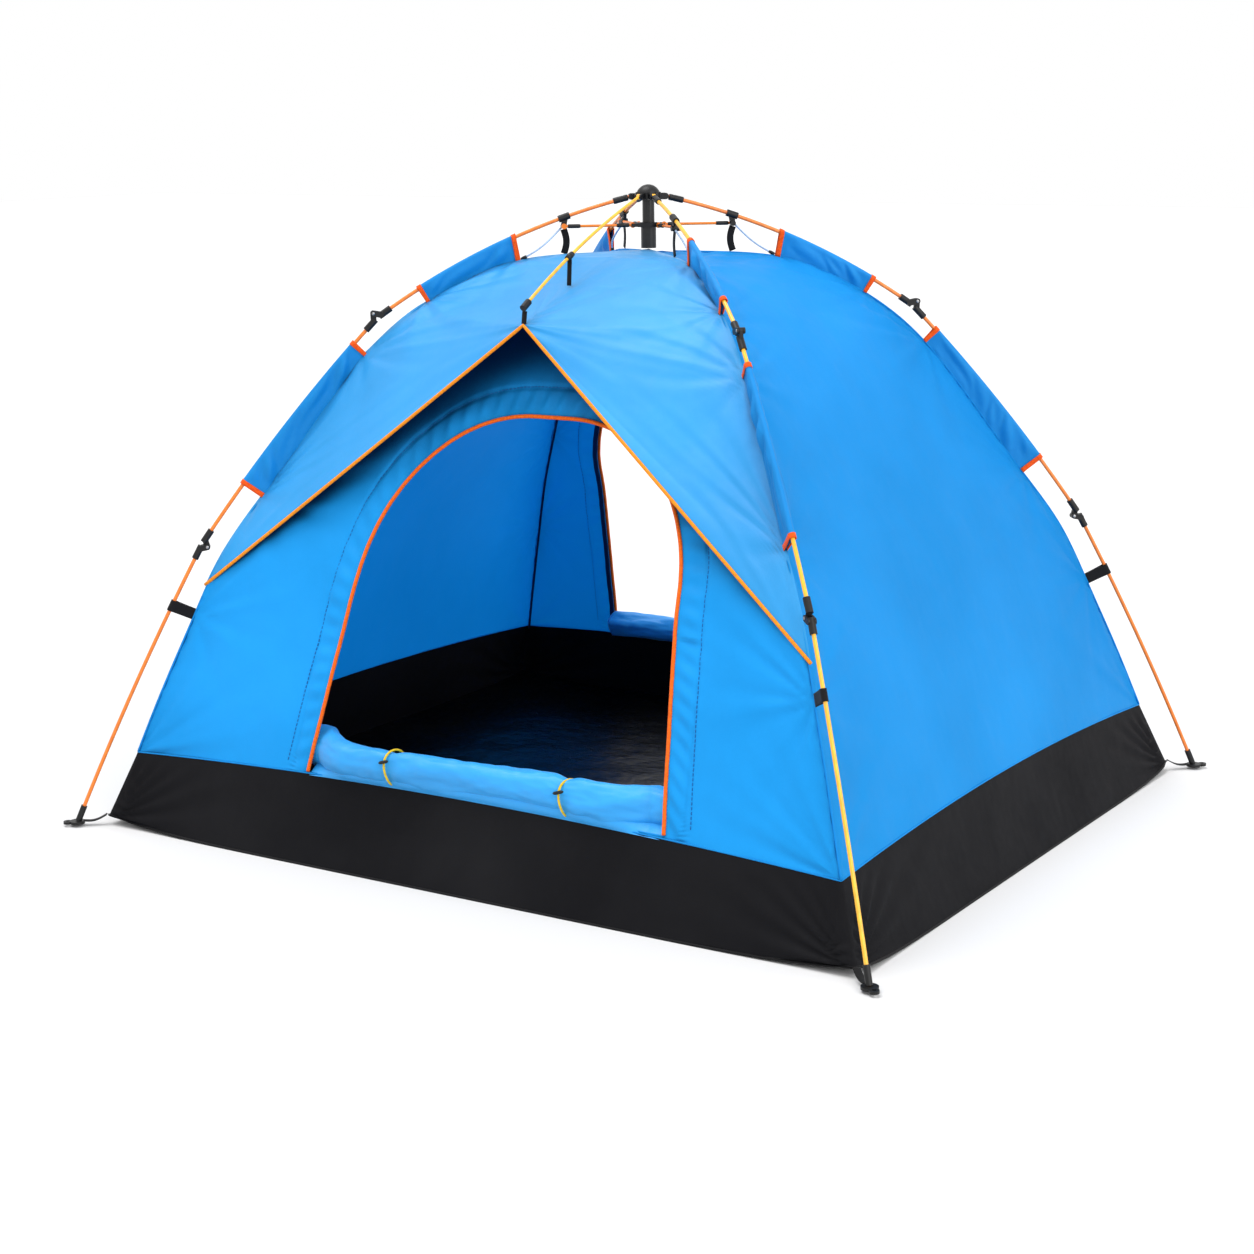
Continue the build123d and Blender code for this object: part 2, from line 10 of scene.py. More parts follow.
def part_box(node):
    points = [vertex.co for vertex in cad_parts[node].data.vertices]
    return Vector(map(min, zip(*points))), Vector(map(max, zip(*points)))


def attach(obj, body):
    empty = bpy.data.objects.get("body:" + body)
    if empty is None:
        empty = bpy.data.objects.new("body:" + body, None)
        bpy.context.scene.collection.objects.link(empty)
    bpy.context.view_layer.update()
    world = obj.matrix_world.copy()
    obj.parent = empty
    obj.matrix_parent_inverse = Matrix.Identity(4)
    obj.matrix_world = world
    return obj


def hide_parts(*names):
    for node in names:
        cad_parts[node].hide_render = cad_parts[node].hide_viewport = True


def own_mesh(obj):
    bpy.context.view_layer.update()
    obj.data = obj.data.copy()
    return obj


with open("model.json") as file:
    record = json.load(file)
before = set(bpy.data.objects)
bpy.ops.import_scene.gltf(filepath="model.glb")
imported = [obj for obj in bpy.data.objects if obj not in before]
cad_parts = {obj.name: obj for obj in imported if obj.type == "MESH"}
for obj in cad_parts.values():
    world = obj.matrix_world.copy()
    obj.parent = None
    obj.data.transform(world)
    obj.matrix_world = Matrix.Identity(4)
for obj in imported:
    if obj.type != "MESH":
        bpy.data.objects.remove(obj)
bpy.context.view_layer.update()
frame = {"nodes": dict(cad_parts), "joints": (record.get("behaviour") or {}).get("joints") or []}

JOINTS = {j["name"]: j for j in frame["joints"]}
LEGS = ("front_left", "back_right", "front_right", "back_left")
HUB_PINS = {leg: JOINTS[f"hub_hinge_{leg}"]["pos_m"] for leg in LEGS}
AZIMUTH = {leg: math.atan2(pin[1], pin[0]) for leg, pin in HUB_PINS.items()}
PLAN = AZIMUTH["back_right"]
HUB_R = math.hypot(*HUB_PINS["back_left"][:2])
HUB_Z = HUB_PINS["back_left"][2]
WIDE = math.cos(PLAN)  # a corner radius times this is a half width
DEEP = math.sin(PLAN)

# ---------------- lines of the frame and the shell

BAND_BOTTOM_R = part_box("groundsheet")[1].x / WIDE
FOOT_R = BAND_BOTTOM_R + 0.062
BAND_TOP_R = FOOT_R - 0.143
BAND_TOP_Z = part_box("base_band")[1].z
KNEE_1 = np.array([0.4595 * FOOT_R, HUB_Z - 0.254])
KNEE_2 = np.array([0.7655 * FOOT_R, 0.461 * HUB_Z])
FOOT = np.array([FOOT_R, 0.006])
HUB_PIVOT = np.array([HUB_R, HUB_Z])
SAG_UPPER, SAG_MIDDLE, SAG_LOWER = 0.030, 0.012, 0.008
TOP_Z = HUB_Z - 0.120
SHELL_LINE = np.array(
    [
        (0.0, TOP_Z),
        (0.160, TOP_Z - 0.005),
        (0.243 * FOOT_R, TOP_Z - 0.024),
        (0.368 * FOOT_R, TOP_Z - 0.097),
        (KNEE_1[0] - 0.024, KNEE_1[1] - 0.032),
        (KNEE_1[0] + 0.125, KNEE_1[1] - 0.200),
        (KNEE_2[0] - 0.134, KNEE_2[1] + 0.097),
        (KNEE_2[0] - 0.043, KNEE_2[1] - 0.027),
        (KNEE_2[0] + 0.025, KNEE_2[1] - 0.160),
        (KNEE_2[0] + 0.105, KNEE_2[1] - 0.330),
        (BAND_TOP_R, BAND_TOP_Z),
    ]
)


def spline_table(points, count=600):
    """Points close together on a natural cubic through some points, by chord length."""
    p = np.asarray(points, float)
    n = len(p)
    t = np.concatenate([[0], np.cumsum(np.linalg.norm(np.diff(p, axis=0), axis=1))])
    h = np.diff(t)
    a = np.zeros((n, n))
    b = np.zeros((n, p.shape[1]))
    a[0, 0] = a[-1, -1] = 1
    for i in range(1, n - 1):
        a[i, i - 1], a[i, i], a[i, i + 1] = h[i - 1], 2 * (h[i - 1] + h[i]), h[i]
        b[i] = 6 * ((p[i + 1] - p[i]) / h[i] - (p[i] - p[i - 1]) / h[i - 1])
    m = np.linalg.solve(a, b)
    u = np.linspace(0, t[-1], count)
    k = np.clip(np.searchsorted(t, u, side="right") - 1, 0, n - 2)
    hk = h[k][:, None]
    x = (u - t[k])[:, None]
    y = hk - x
    left = m[k] * y**3 / (6 * hk) + (p[k] / hk - m[k] * hk / 6) * y
    right = m[k + 1] * x**3 / (6 * hk) + (p[k + 1] / hk - m[k + 1] * hk / 6) * x
    return left + right


SHELL = spline_table(SHELL_LINE)
SHELL_S = np.concatenate([[0], np.cumsum(np.linalg.norm(np.diff(SHELL, axis=0), axis=1))])
SHELL_LENGTH = SHELL_S[-1]


def shell_at(s):
    """(radius, height) on the corner seam at s metres from the top."""
    return np.interp(s, SHELL_S, SHELL[:, 0]), np.interp(s, SHELL_S, SHELL[:, 1])


def radius_at(z):
    """Radius of the corner seam at height z."""
    return np.interp(-np.asarray(z), -SHELL[:, 1], SHELL[:, 0])


def s_at_z(z):
    """Distance along the corner seam from the top down to height z."""
    return float(np.interp(-z, -SHELL[:, 1], SHELL_S))


def arc(a, b, sag, count=200):
    """A pole's bowed line, as the part has it: a circular arc between a and b."""
    chord = b - a
    length = np.linalg.norm(chord)
    along = chord / length
    out = np.array([-along[1], along[0]])
    r = (length**2 / 4 + sag**2) / (2 * sag)
    half = math.asin(length / 2 / r)
    ang = np.linspace(-half, half, count)
    mid = (a + b) / 2 + out * (sag - r)
    return mid + np.outer(np.sin(ang) * r, along) + np.outer(np.cos(ang) * r, out)


UPPER = arc(HUB_PIVOT, KNEE_1, SAG_UPPER)
MIDDLE = arc(KNEE_1, KNEE_2, SAG_MIDDLE)
LOWER = arc(KNEE_2, FOOT, SAG_LOWER)
ROD_TIP = np.array([0.490, HUB_Z - 0.210])
SAG_ROD = 0.014
ROD = arc(HUB_PIVOT, ROD_TIP, SAG_ROD)


def along_line(line, share):
    """Points of a line at shares from 0 to 1 of its length."""
    i = share * (len(line) - 1)
    k = np.arange(len(line))
    return np.stack([np.interp(i, k, line[:, 0]), np.interp(i, k, line[:, 1])], -1)


def turn(points, azimuth):
    """Points in a leg's frame (outward, aside, up) turned to where the leg stands."""
    p = np.asarray(points, float)
    c, s = math.cos(azimuth), math.sin(azimuth)
    return np.stack([p[..., 0] * c - p[..., 1] * s, p[..., 0] * s + p[..., 1] * c, p[..., 2]], -1)


# ---------------- materials


def new_material(name):
    """A material, its nodes, its shader and the object's own coordinates."""
    m = bpy.data.materials.new(name)
    m.use_nodes = True
    nodes = m.node_tree.nodes
    coord = nodes.new("ShaderNodeTexCoord").outputs["Object"]
    return m, nodes, nodes["Principled BSDF"], coord


def put(node, values):
    """Set a node's own sockets."""
    for socket, value in values.items():
        node.inputs[socket].default_value = value


def wire(source, target):
    source.id_data.links.new(source, target)


def shade(colour, factor, lift=0.0):
    return tuple(min(1.0, c * factor + lift) for c in colour)


# Each of these adds a node and gives its output.


def noise_node(nodes, coord, scale, detail=4.0, stretch=None):
    n = nodes.new("ShaderNodeTexNoise")
    put(n, {"Scale": scale, "Detail": detail})
    if stretch:
        mapping = nodes.new("ShaderNodeMapping")
        mapping.inputs["Scale"].default_value = stretch
        wire(coord, mapping.inputs["Vector"])
        coord = mapping.outputs["Vector"]
    wire(coord, n.inputs["Vector"])
    return n.outputs["Fac"]


def wave_node(nodes, coord, direction, scale, distortion):
    n = nodes.new("ShaderNodeTexWave")
    n.bands_direction = direction
    put(n, {"Scale": scale, "Distortion": distortion})
    wire(coord, n.inputs["Vector"])
    return n.outputs["Fac"]


def ramp_node(nodes, source, low, high, colour_a, colour_b):
    r = nodes.new("ShaderNodeValToRGB")
    first, last = r.color_ramp.elements
    first.position, last.position = low, high
    first.color, last.color = (*colour_a, 1), (*colour_b, 1)
    wire(source, r.inputs["Fac"])
    return r.outputs["Color"]


def range_node(nodes, source, values):
    r = nodes.new("ShaderNodeMapRange")
    put(r, values)
    wire(source, r.inputs["Value"])
    return r.outputs["Result"]


def bump_node(nodes, source, strength, distance, below=None):
    b = nodes.new("ShaderNodeBump")
    put(b, {"Strength": strength, "Distance": distance})
    wire(source, b.inputs["Height"])
    if below:
        wire(below, b.inputs["Normal"])
    return b.outputs["Normal"]


def painted_pocket_shade(nodes, colour, reach):
    """Painted shade: the colour darkened where other surfaces lie near, in folds and pockets."""
    near = nodes.new("ShaderNodeAmbientOcclusion")
    near.samples = 8
    near.inputs["Distance"].default_value = reach
    ends = {"From Min": 0.15, "From Max": 0.85, "To Min": 0.04, "To Max": 1.0}
    level = range_node(nodes, near.outputs["AO"], ends)
    level.node.interpolation_type = "SMOOTHSTEP"
    mix = nodes.new("ShaderNodeMix")
    mix.data_type = "RGBA"
    mix.blend_type = "MULTIPLY"
    mix.inputs["Factor"].default_value = 1.0
    wire(colour, mix.inputs["A"])
    wire(level, mix.inputs["B"])
    return mix.outputs["Result"]


def cloth(name, colour, rough=0.5, sheen=0.04, through=0.0, weave=0.25, crease=0.3, gloss=0.15, painted_shade_reach=0.0):
    """Coated polyester: fine weave, faint creases, uneven tone, and light that comes through.

    Above 0, the last argument paints shade into the colour where the cloth faces other cloth within that
    distance.
    """
    m, nodes, shader, coord = new_material(name)
    tone = noise_node(nodes, coord, 2.2, 5.0)
    paint = ramp_node(nodes, tone, 0.35, 0.68, shade(colour, 0.88), shade(colour, 1.06, 0.004))
    # painted shade: darken the colour in folds and pockets
    if painted_shade_reach:
        paint = painted_pocket_shade(nodes, paint, painted_shade_reach)
    wire(paint, shader.inputs["Base Color"])
    rub = noise_node(nodes, coord, 38.0, 3.0)
    spread = range_node(nodes, rub, {"To Min": rough - 0.06, "To Max": rough + 0.08})
    wire(spread, shader.inputs["Roughness"])
    put(shader, {"Specular IOR Level": gloss, "Sheen Weight": sheen, "Sheen Roughness": 0.4})
    folds = noise_node(nodes, coord, 7.0, 3.0, (1.0, 1.0, 0.35))
    first = bump_node(nodes, folds, crease, 0.02)
    crumple = noise_node(nodes, coord, 42.0, 4.0)
    second = bump_node(nodes, crumple, crease * 0.5, 0.003, first)
    mix = nodes.new("ShaderNodeMath")
    mix.operation = "MULTIPLY"
    wire(wave_node(nodes, coord, "Z", 420.0, 1.5), mix.inputs[0])
    wire(wave_node(nodes, coord, "DIAGONAL", 420.0, 1.5), mix.inputs[1])
    third = bump_node(nodes, mix.outputs["Value"], weave, 0.0004, second)
    wire(third, shader.inputs["Normal"])
    if through:
        glow = nodes.new("ShaderNodeBsdfTranslucent")
        lit = (colour[0] * 0.3, colour[1] * 1.05, min(1.0, colour[2] * 1.4), 1)
        glow.inputs["Color"].default_value = lit
        wire(third, glow.inputs["Normal"])
        both = nodes.new("ShaderNodeMixShader")
        both.inputs["Fac"].default_value = through
        wire(shader.outputs["BSDF"], both.inputs[1])
        wire(glow.outputs["BSDF"], both.inputs[2])
        wire(both.outputs["Shader"], nodes["Material Output"].inputs["Surface"])
    return m


def webbing(name, colour, rough=0.7):
    """Woven tape: ribs across it, fuzzy and uneven."""
    m, nodes, shader, coord = new_material(name)
    fuzz = noise_node(nodes, coord, 260.0, 3.0)
    paint = ramp_node(nodes, fuzz, 0.3, 0.7, shade(colour, 0.75), shade(colour, 1.15))
    wire(paint, shader.inputs["Base Color"])
    ribs = wave_node(nodes, coord, "DIAGONAL", 180.0, 2.0)
    wire(bump_node(nodes, ribs, 0.5, 0.0006), shader.inputs["Normal"])
    put(shader, {"Roughness": rough, "Sheen Weight": 0.05, "Specular IOR Level": 0.15})
    return m


def moulded(name, colour, rough=0.38, grain=0.15, coat=0.0):
    """Moulded plastic or lacquer: faint grain, scuffs and uneven gloss."""
    m, nodes, shader, coord = new_material(name)
    scuff = noise_node(nodes, coord, 60.0, 6.0)
    paint = ramp_node(nodes, scuff, 0.3, 0.75, shade(colour, 0.86), shade(colour, 1.1, 0.004))
    wire(paint, shader.inputs["Base Color"])
    spread = range_node(nodes, scuff, {"To Min": rough - 0.08, "To Max": rough + 0.14})
    wire(spread, shader.inputs["Roughness"])
    fine = noise_node(nodes, coord, 900.0, 2.0)
    wire(bump_node(nodes, fine, grain, 0.0003), shader.inputs["Normal"])
    put(shader, {"Coat Weight": coat, "Specular IOR Level": 0.3})
    return m


def glass_fibre(name, colour):
    """Pultruded pole: lengthwise fibres under a clear gloss."""
    m, nodes, shader, coord = new_material(name)
    streak = noise_node(nodes, coord, 90.0, 5.0, (1.0, 1.0, 0.25))
    paint = ramp_node(nodes, streak, 0.3, 0.7, shade(colour, 0.82), shade(colour, 1.12))
    wire(paint, shader.inputs["Base Color"])
    put(shader, {"Roughness": 0.32, "Coat Weight": 0.4, "Coat Roughness": 0.15})
    wire(bump_node(nodes, streak, 0.15, 0.0005), shader.inputs["Normal"])
    return m


BLUE = (0.006, 0.272, 0.69)
AWNING_BLUE = (0.014, 0.285, 0.665)
MAT = {
    "shell": cloth("shell_cloth", BLUE, sheen=0.02, through=0.24, gloss=0.1),
    # The door wall and the awning carry painted shade: their colour is darkened where cloth faces cloth, as
    # under the awning.
    "door_wall": cloth("door_wall_cloth", BLUE, sheen=0.0, through=0.05, gloss=0.1, painted_shade_reach=0.5),
    "awning": cloth("awning_cloth", AWNING_BLUE, 0.42, sheen=0.1, through=0.03, gloss=0.38, painted_shade_reach=0.3),
    "sleeve": cloth("sleeve_cloth", (0.004, 0.21, 0.57), crease=0.9),
    "band": cloth("band_cloth", (0.006, 0.006, 0.0075), rough=0.6, sheen=0.0, crease=0.35, gloss=0.06),
    "floor": cloth("floor_cloth", (0.0012, 0.0015, 0.002), rough=0.3, sheen=0.0, crease=0.6, gloss=0.16),
    "roll": cloth("roll_cloth", (0.024, 0.33, 0.78), rough=0.38, sheen=0.1, crease=0.55, gloss=0.34),
    "piping_red": webbing("door_piping_tape", (0.84, 0.13, 0.005), 0.5),
    "piping_orange": webbing("awning_piping_tape", (0.86, 0.27, 0.010), 0.5),
    "tape": webbing("sleeve_band_tape", (0.80, 0.085, 0.003), 0.55),
    "black_tape": webbing("black_tape", (0.005, 0.005, 0.006)),
    "seam": webbing("seam_tape", (0.002, 0.025, 0.09), 0.6),
    "thread": webbing("stitch_thread", (0.01, 0.11, 0.36), 0.8),
    "yellow_cord": webbing("yellow_cord", (0.72, 0.50, 0.02), 0.6),
    "elastic": webbing("elastic_cord", (0.42, 0.54, 0.72), 0.6),
    "plastic": moulded("black_plastic", (0.0055, 0.0055, 0.006)),
    "tube": moulded("black_lacquer", (0.005, 0.005, 0.0055), 0.3, 0.08, 0.2),
    "strut": moulded("orange_lacquer", (0.82, 0.19, 0.006), 0.3, 0.05, 0.2),
    "pole": glass_fibre("pole_fibre", (0.82, 0.185, 0.005)),
    # Yellow of the awning rod; the front-right leg's orange poles get it too, as painted light: drawn
    # yellower as on the lit side.
    "yellow_pole": glass_fibre("rod_fibre", (0.88, 0.44, 0.022)),
    "rivet": moulded("rivet_steel", (0.35, 0.35, 0.36), 0.3, 0.05),
}
MAT["rivet"].node_tree.nodes["Principled BSDF"].inputs["Metallic"].default_value = 1.0


# ---------------- mesh helpers


def add_mesh(name, verts, faces, material):
    mesh = bpy.data.meshes.new(name)
    mesh.from_pydata([tuple(map(float, v)) for v in verts], [], faces)
    mesh.update()
    obj = bpy.data.objects.new(name, mesh)
    bpy.context.scene.collection.objects.link(obj)
    mesh.materials.append(material)
    mesh.polygons.foreach_set("use_smooth", [True] * len(mesh.polygons))
    return obj


def grid_faces(rows, cols, closed=False, start=0):
    """Quads of a rows by cols grid of points; closed joins the last column to the first."""
    faces = []
    for i in range(rows - 1):
        this, below = start + i * cols, start + (i + 1) * cols
        for j in range(cols - (0 if closed else 1)):
            k = (j + 1) % cols
            faces.append((this + j, this + k, below + k, below + j))
    return faces


def grid_area(grid):
    """Area of a rows by cols by 3 grid of points."""
    a, b = grid[1:, :-1] - grid[:-1, :-1], grid[:-1, 1:] - grid[:-1, :-1]
    c, d = grid[1:, :-1] - grid[1:, 1:], grid[:-1, 1:] - grid[1:, 1:]
    one = np.linalg.norm(np.cross(a, b), axis=-1).sum()
    two = np.linalg.norm(np.cross(c, d), axis=-1).sum()
    return float(one + two) / 2


def merge(obj, distance=0.0003):
    """Join the points of a mesh that lie closer together than a distance."""
    bm = bmesh.new()
    bm.from_mesh(obj.data)
    bmesh.ops.remove_doubles(bm, verts=bm.verts, dist=distance)
    bm.to_mesh(obj.data)
    bm.free()
    obj.data.update()


def join_grids(name, grids, material, closed=False):
    """One object from grids of points; closed joins each grid's last column to its first."""
    verts, faces = [], []
    for g in grids:
        g = np.asarray(g)
        faces += grid_faces(g.shape[0], g.shape[1], closed, len(verts))
        verts += list(g.reshape(-1, 3))
    return add_mesh(name, verts, faces, material)


def tube_grid(path, radius, sides=12, caps=True):
    """Rings of points round a path; radius is a number or one for each point."""
    p = np.asarray(path, float)
    n = len(p)
    r = np.broadcast_to(np.asarray(radius, float), (n,))
    t = np.gradient(p, axis=0)
    t /= np.linalg.norm(t, axis=1)[:, None]
    up = np.array([0.0, 0.0, 1.0]) if abs(t[0][2]) < 0.9 else np.array([1.0, 0.0, 0.0])
    rings = []
    x = np.cross(up, t[0])
    x /= np.linalg.norm(x)
    for i in range(n):
        x = x - t[i] * x.dot(t[i])
        x /= np.linalg.norm(x)
        y = np.cross(t[i], x)
        a = np.linspace(0, 2 * math.pi, sides, endpoint=False)
        rings.append(p[i] + r[i] * (np.outer(np.cos(a), x) + np.outer(np.sin(a), y)))
    if caps:
        rings = [np.repeat(p[:1], sides, 0)] + rings + [np.repeat(p[-1:], sides, 0)]
    return np.array(rings)


def ribbon_grid(path, across, width, thick):
    """A flat strap: rings of a rounded rectangle along a path."""
    p = np.asarray(path, float)
    a = np.broadcast_to(np.asarray(across, float), p.shape)
    t = np.gradient(p, axis=0)
    t /= np.linalg.norm(t, axis=1)[:, None]
    side = a - t * (a * t).sum(1)[:, None]
    side /= np.linalg.norm(side, axis=1)[:, None]
    out = np.cross(t, side)
    w, h, low = width / 2, thick / 2, thick * 0.2
    shape = [(-w, -low), (-w + h, -h), (w - h, -h), (w, -low), (w, low), (w - h, h), (-w + h, h), (-w, low)]
    rings = [[p[i] + side[i] * u + out[i] * v for u, v in shape] for i in range(len(p))]
    rings = [[p[0]] * len(shape)] + rings + [[p[-1]] * len(shape)]
    return np.array(rings)


def fabric_noise(points, scale, seed=0.0):
    """Smooth noise from -1 to 1 at each point, as one flat list."""
    shift = Vector((seed * 3.7, seed * 1.3, seed * 2.1))
    return np.array([noise.noise(Vector(p) * scale + shift) for p in np.asarray(points).reshape(-1, 3)])


def goes_soft(obj):
    """The piece belongs to the shell and sinks to the ground with it when the hub comes down."""
    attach(obj, "shell")
    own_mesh(obj)


def soft_piece(name, grids, material, stands_for=None):
    """A closed tube or ribbon that goes soft, and the CAD node and material slot it has, if any."""
    obj = join_grids(name, grids, MAT[material], closed=True)
    goes_soft(obj)
    if stands_for:
        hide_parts(stands_for)
    return obj


# ---------------- where the shell is held

SLEEVES = {"upper": (UPPER, 0.44, 0.82), "middle": (MIDDLE, 0.12, 0.74)}
LOOP_SHARE = 0.221


def nearest_s(point):
    """Distance along the corner seam from the top to its point nearest a pole's point."""
    d = np.linalg.norm(SHELL - point, axis=1)
    return float(SHELL_S[d.argmin()])


HOLD_S = [nearest_s(along_line(line, share)) for line, a, b in SLEEVES.values() for share in (a, b)]
HOLD_S.append(nearest_s(along_line(LOWER, LOOP_SHARE)))
HOLD_S.append(SHELL_LENGTH)


def tension(s_m, across_m, seed):
    """Folds that run out from where a corner seam is held; across_m is the distance from the seam."""
    total = np.zeros_like(s_m)
    for i, hold in enumerate(HOLD_S):
        ds = s_m - hold
        d = np.hypot(ds, across_m) + 1e-6
        angle = np.arctan2(ds, across_m + 1e-6)
        wave = np.cos(angle * (9 + (i * 5 + seed) % 4) + 1.7 * i + seed)
        fine = np.cos(angle * (19 + (i * 3 + seed) % 5) + 0.6 * i + 2 * seed)
        reach = 0.16 + 0.03 * ((i + seed) % 3)
        fade = np.exp(-d / reach) * (1 - np.exp(-d / 0.025))
        total += (0.0030 * wave + 0.0012 * fine) * fade
    return total


def wall_points(side, s_m, w, lift=0.0):
    """Points of one wall: s_m metres down from the top, w from -1 to 1 between its corner seams.

    side is 0 right, 1 back, 2 left, 3 front. Also gives the outward normals.
    """
    out_f, side_f = (WIDE, DEEP) if side % 2 == 0 else (DEEP, WIDE)
    r, z = shell_at(s_m)
    r2, z2 = shell_at(np.minimum(s_m + 0.004, SHELL_LENGTH))
    r1, z1 = shell_at(np.maximum(s_m - 0.004, 0))
    t = np.stack([(r2 - r1) * out_f, z2 - z1], -1)
    t /= np.linalg.norm(t, axis=-1)[..., None]
    normal = np.stack([-t[..., 1], np.zeros_like(r), t[..., 0]], -1)
    local = np.stack([r * out_f, w * r * side_f, z], -1) + normal * np.asarray(lift)[..., None]
    az = side * math.pi / 2
    return turn(local, az), turn(normal, az)


HOLLOW = 0.012  # how far a wall's middle hangs inside its taut surface


def wall_lift(side, s_m, w, slack=1.0):
    """How far the cloth is out of its taut surface: hollow between the seams, pulled folds, soft creases.

    slack scales the folds and creases, which die out where an edge is held tight.
    """
    side_f = DEEP if side % 2 == 0 else WIDE
    half = shell_at(s_m)[0] * side_f
    hollow = -HOLLOW * (1 - w**2) * np.clip(np.sin(math.pi * s_m / SHELL_LENGTH), 0, 1)
    folds = tension(s_m, half * (1 - w), side) + tension(s_m, half * (1 + w), side + 5)
    edge = np.minimum(half * (1 - w), half * (1 + w))
    pucker = 0.0010 * np.exp(-edge / 0.02) * np.sin(s_m / 0.0062 + 3 * np.sin(s_m * 21 + side))
    pts = wall_points(side, s_m, w)[0]
    soft = fabric_noise(pts, 2.6, side).reshape(s_m.shape) * 0.004
    creased = fabric_noise(pts * np.array([1, 1, 0.45]), 11.0, side + 9).reshape(s_m.shape) * 0.0014
    fade = np.clip(edge / 0.06, 0, 1) * np.clip(s_m / 0.2, 0, 1)
    return -0.0013 + hollow * fade + pucker + slack * (folds + (soft + creased) * fade)


BAND_RISE = 0.026


def band_top(w):
    """Height of the black band's upper edge: it rises between the corners."""
    return BAND_TOP_Z + BAND_RISE * (1 - w**2)


# ---------------- side walls


def side_wall(side, name, rows=150, cols=110):
    s = np.linspace(0.0, 1.0, rows)[:, None]
    w = np.sin(np.linspace(-1, 1, cols) * math.pi / 2)[None, :]
    w = 0.55 * w + 0.45 * np.linspace(-1, 1, cols)[None, :]
    end = np.interp(-band_top(w), -SHELL[:, 1], SHELL_S)
    s_m = s * end
    w = np.broadcast_to(w, s_m.shape)
    area = grid_area(wall_points(side, s_m, w)[0])
    grid = wall_points(side, s_m, w, wall_lift(side, s_m, w))[0]
    obj = join_grids(name, [grid], MAT["shell"])
    merge(obj)
    goes_soft(obj)
    return obj


# ---------------- door walls

PIPE_W = 0.006
DOOR_CORNER = 0.350  # radius of the opening's upper corners
DOOR_LEAN = 0.087  # how far each side of the opening leans in over its height
FLANGE = 0.062  # from the opening's edge to the flange's seam
DOOR_LO, DOOR_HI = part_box("front_door_piping")
BACK_DOOR_LO, BACK_DOOR_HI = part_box("back_door_piping")
DOOR_SHIFT = (DOOR_LO.x + DOOR_HI.x) / 2
DOOR_BOTTOM = DOOR_LO.z + PIPE_W
DOOR_TOP = DOOR_HI.z - PIPE_W
DOOR_HALF = {
    3: (DOOR_HI.x - DOOR_LO.x) / 2 - PIPE_W,
    1: (BACK_DOOR_HI.x - BACK_DOOR_LO.x) / 2 - PIPE_W,
}


def door_outline(half_low, count=400):
    """(aside, height) points round a door opening from bottom left, over the top, to bottom right."""
    lean = math.atan2(DOOR_LEAN, DOOR_TOP - DOOR_BOTTOM)
    r = DOOR_CORNER
    cz = DOOR_TOP - r
    edge = half_low - (cz - DOOR_BOTTOM) * math.tan(lean)
    cx = edge - r / math.cos(lean)
    ang = np.linspace(lean, math.pi / 2, 60)
    right = np.stack([cx + r * np.cos(ang), cz + r * np.sin(ang)], -1)
    half = np.concatenate([[[half_low, DOOR_BOTTOM]], right])
    whole = np.concatenate([half, (half * [-1, 1])[::-1]])[::-1]
    d = np.concatenate([[0], np.cumsum(np.linalg.norm(np.diff(whole, axis=0), axis=1))])
    u = np.linspace(0, d[-1], count)
    return np.stack([np.interp(u, d, whole[:, 0]) + DOOR_SHIFT, np.interp(u, d, whole[:, 1])], -1)


DOOR = {side: door_outline(half) for side, half in DOOR_HALF.items()}


def door_wall_point(side, across, z, lift=0.0):
    """A point of a door wall from its distance aside (seen from outside the front) and height."""
    r = radius_at(z)
    w = across / np.maximum(r * WIDE, 1e-4)
    s_m = np.interp(-z, -SHELL[:, 1], SHELL_S)
    if np.ndim(lift) == 0:
        lift = np.full(np.shape(across), float(lift))
    return wall_points(side, s_m, w, lift)


def crossing(inside, centre, angles, far=1.7, steps=3400):
    """How far each ray from centre runs before it leaves the region."""
    t = np.linspace(0, far, steps)
    x = centre[0] + np.outer(np.cos(angles), t)
    z = centre[1] + np.outer(np.sin(angles), t)
    ok = inside(x, z)
    return t[np.argmin(ok, axis=1) - 1]


def in_door(side):
    """A test for points (aside, height) that lie in a door opening."""
    one_side = DOOR[side][: len(DOOR[side]) // 2]
    order = np.argsort(one_side[:, 1])

    def test(x, z):
        reach = np.interp(z, one_side[:, 1][order], np.abs(one_side[:, 0] - DOOR_SHIFT)[order])
        return (np.abs(x - DOOR_SHIFT) < reach) & (z > DOOR_BOTTOM) & (z < DOOR_TOP)

    return test


def in_wall(x, z):
    """Whether points (aside, height) lie between the corner seams, above the band."""
    half = radius_at(z) * WIDE
    w = np.clip(np.abs(x) / np.maximum(half, 1e-4), 0, 1)
    foot = np.minimum(band_top(w), DOOR_BOTTOM - 0.001 + 0.1 * (w > 0.6))
    return (np.abs(x) < half) & (z > foot) & (z < TOP_Z)


DOOR_CENTRE_Z = 0.56
RAYS = {}  # for each door wall: the rays' angles, their lengths to the door's edge, the run of that edge


def flange_lift(run, gap):
    """Ripples of the flange round a door, its seam line drawn in by the stitches."""
    ripple = np.sin(run / 0.0065 + 2.2 * np.sin(run * 9.0) + gap * 45)
    ripple = ripple * np.exp(-(((gap - 0.038) / 0.024) ** 2))
    broad = np.sin(run / 0.031 + 1.7 * np.sin(run * 4.1)) * np.exp(-(((gap - 0.038) / 0.026) ** 2))
    seam = -0.0024 * np.exp(-(((gap - FLANGE) / 0.004) ** 2))
    return 0.0019 * ripple + 0.0030 * broad + seam


def edge_slack(gap):
    """The piping holds the cloth round a door tighter than the rest of the wall."""
    return 0.25 + 0.75 * np.clip(gap / 0.14, 0, 1)


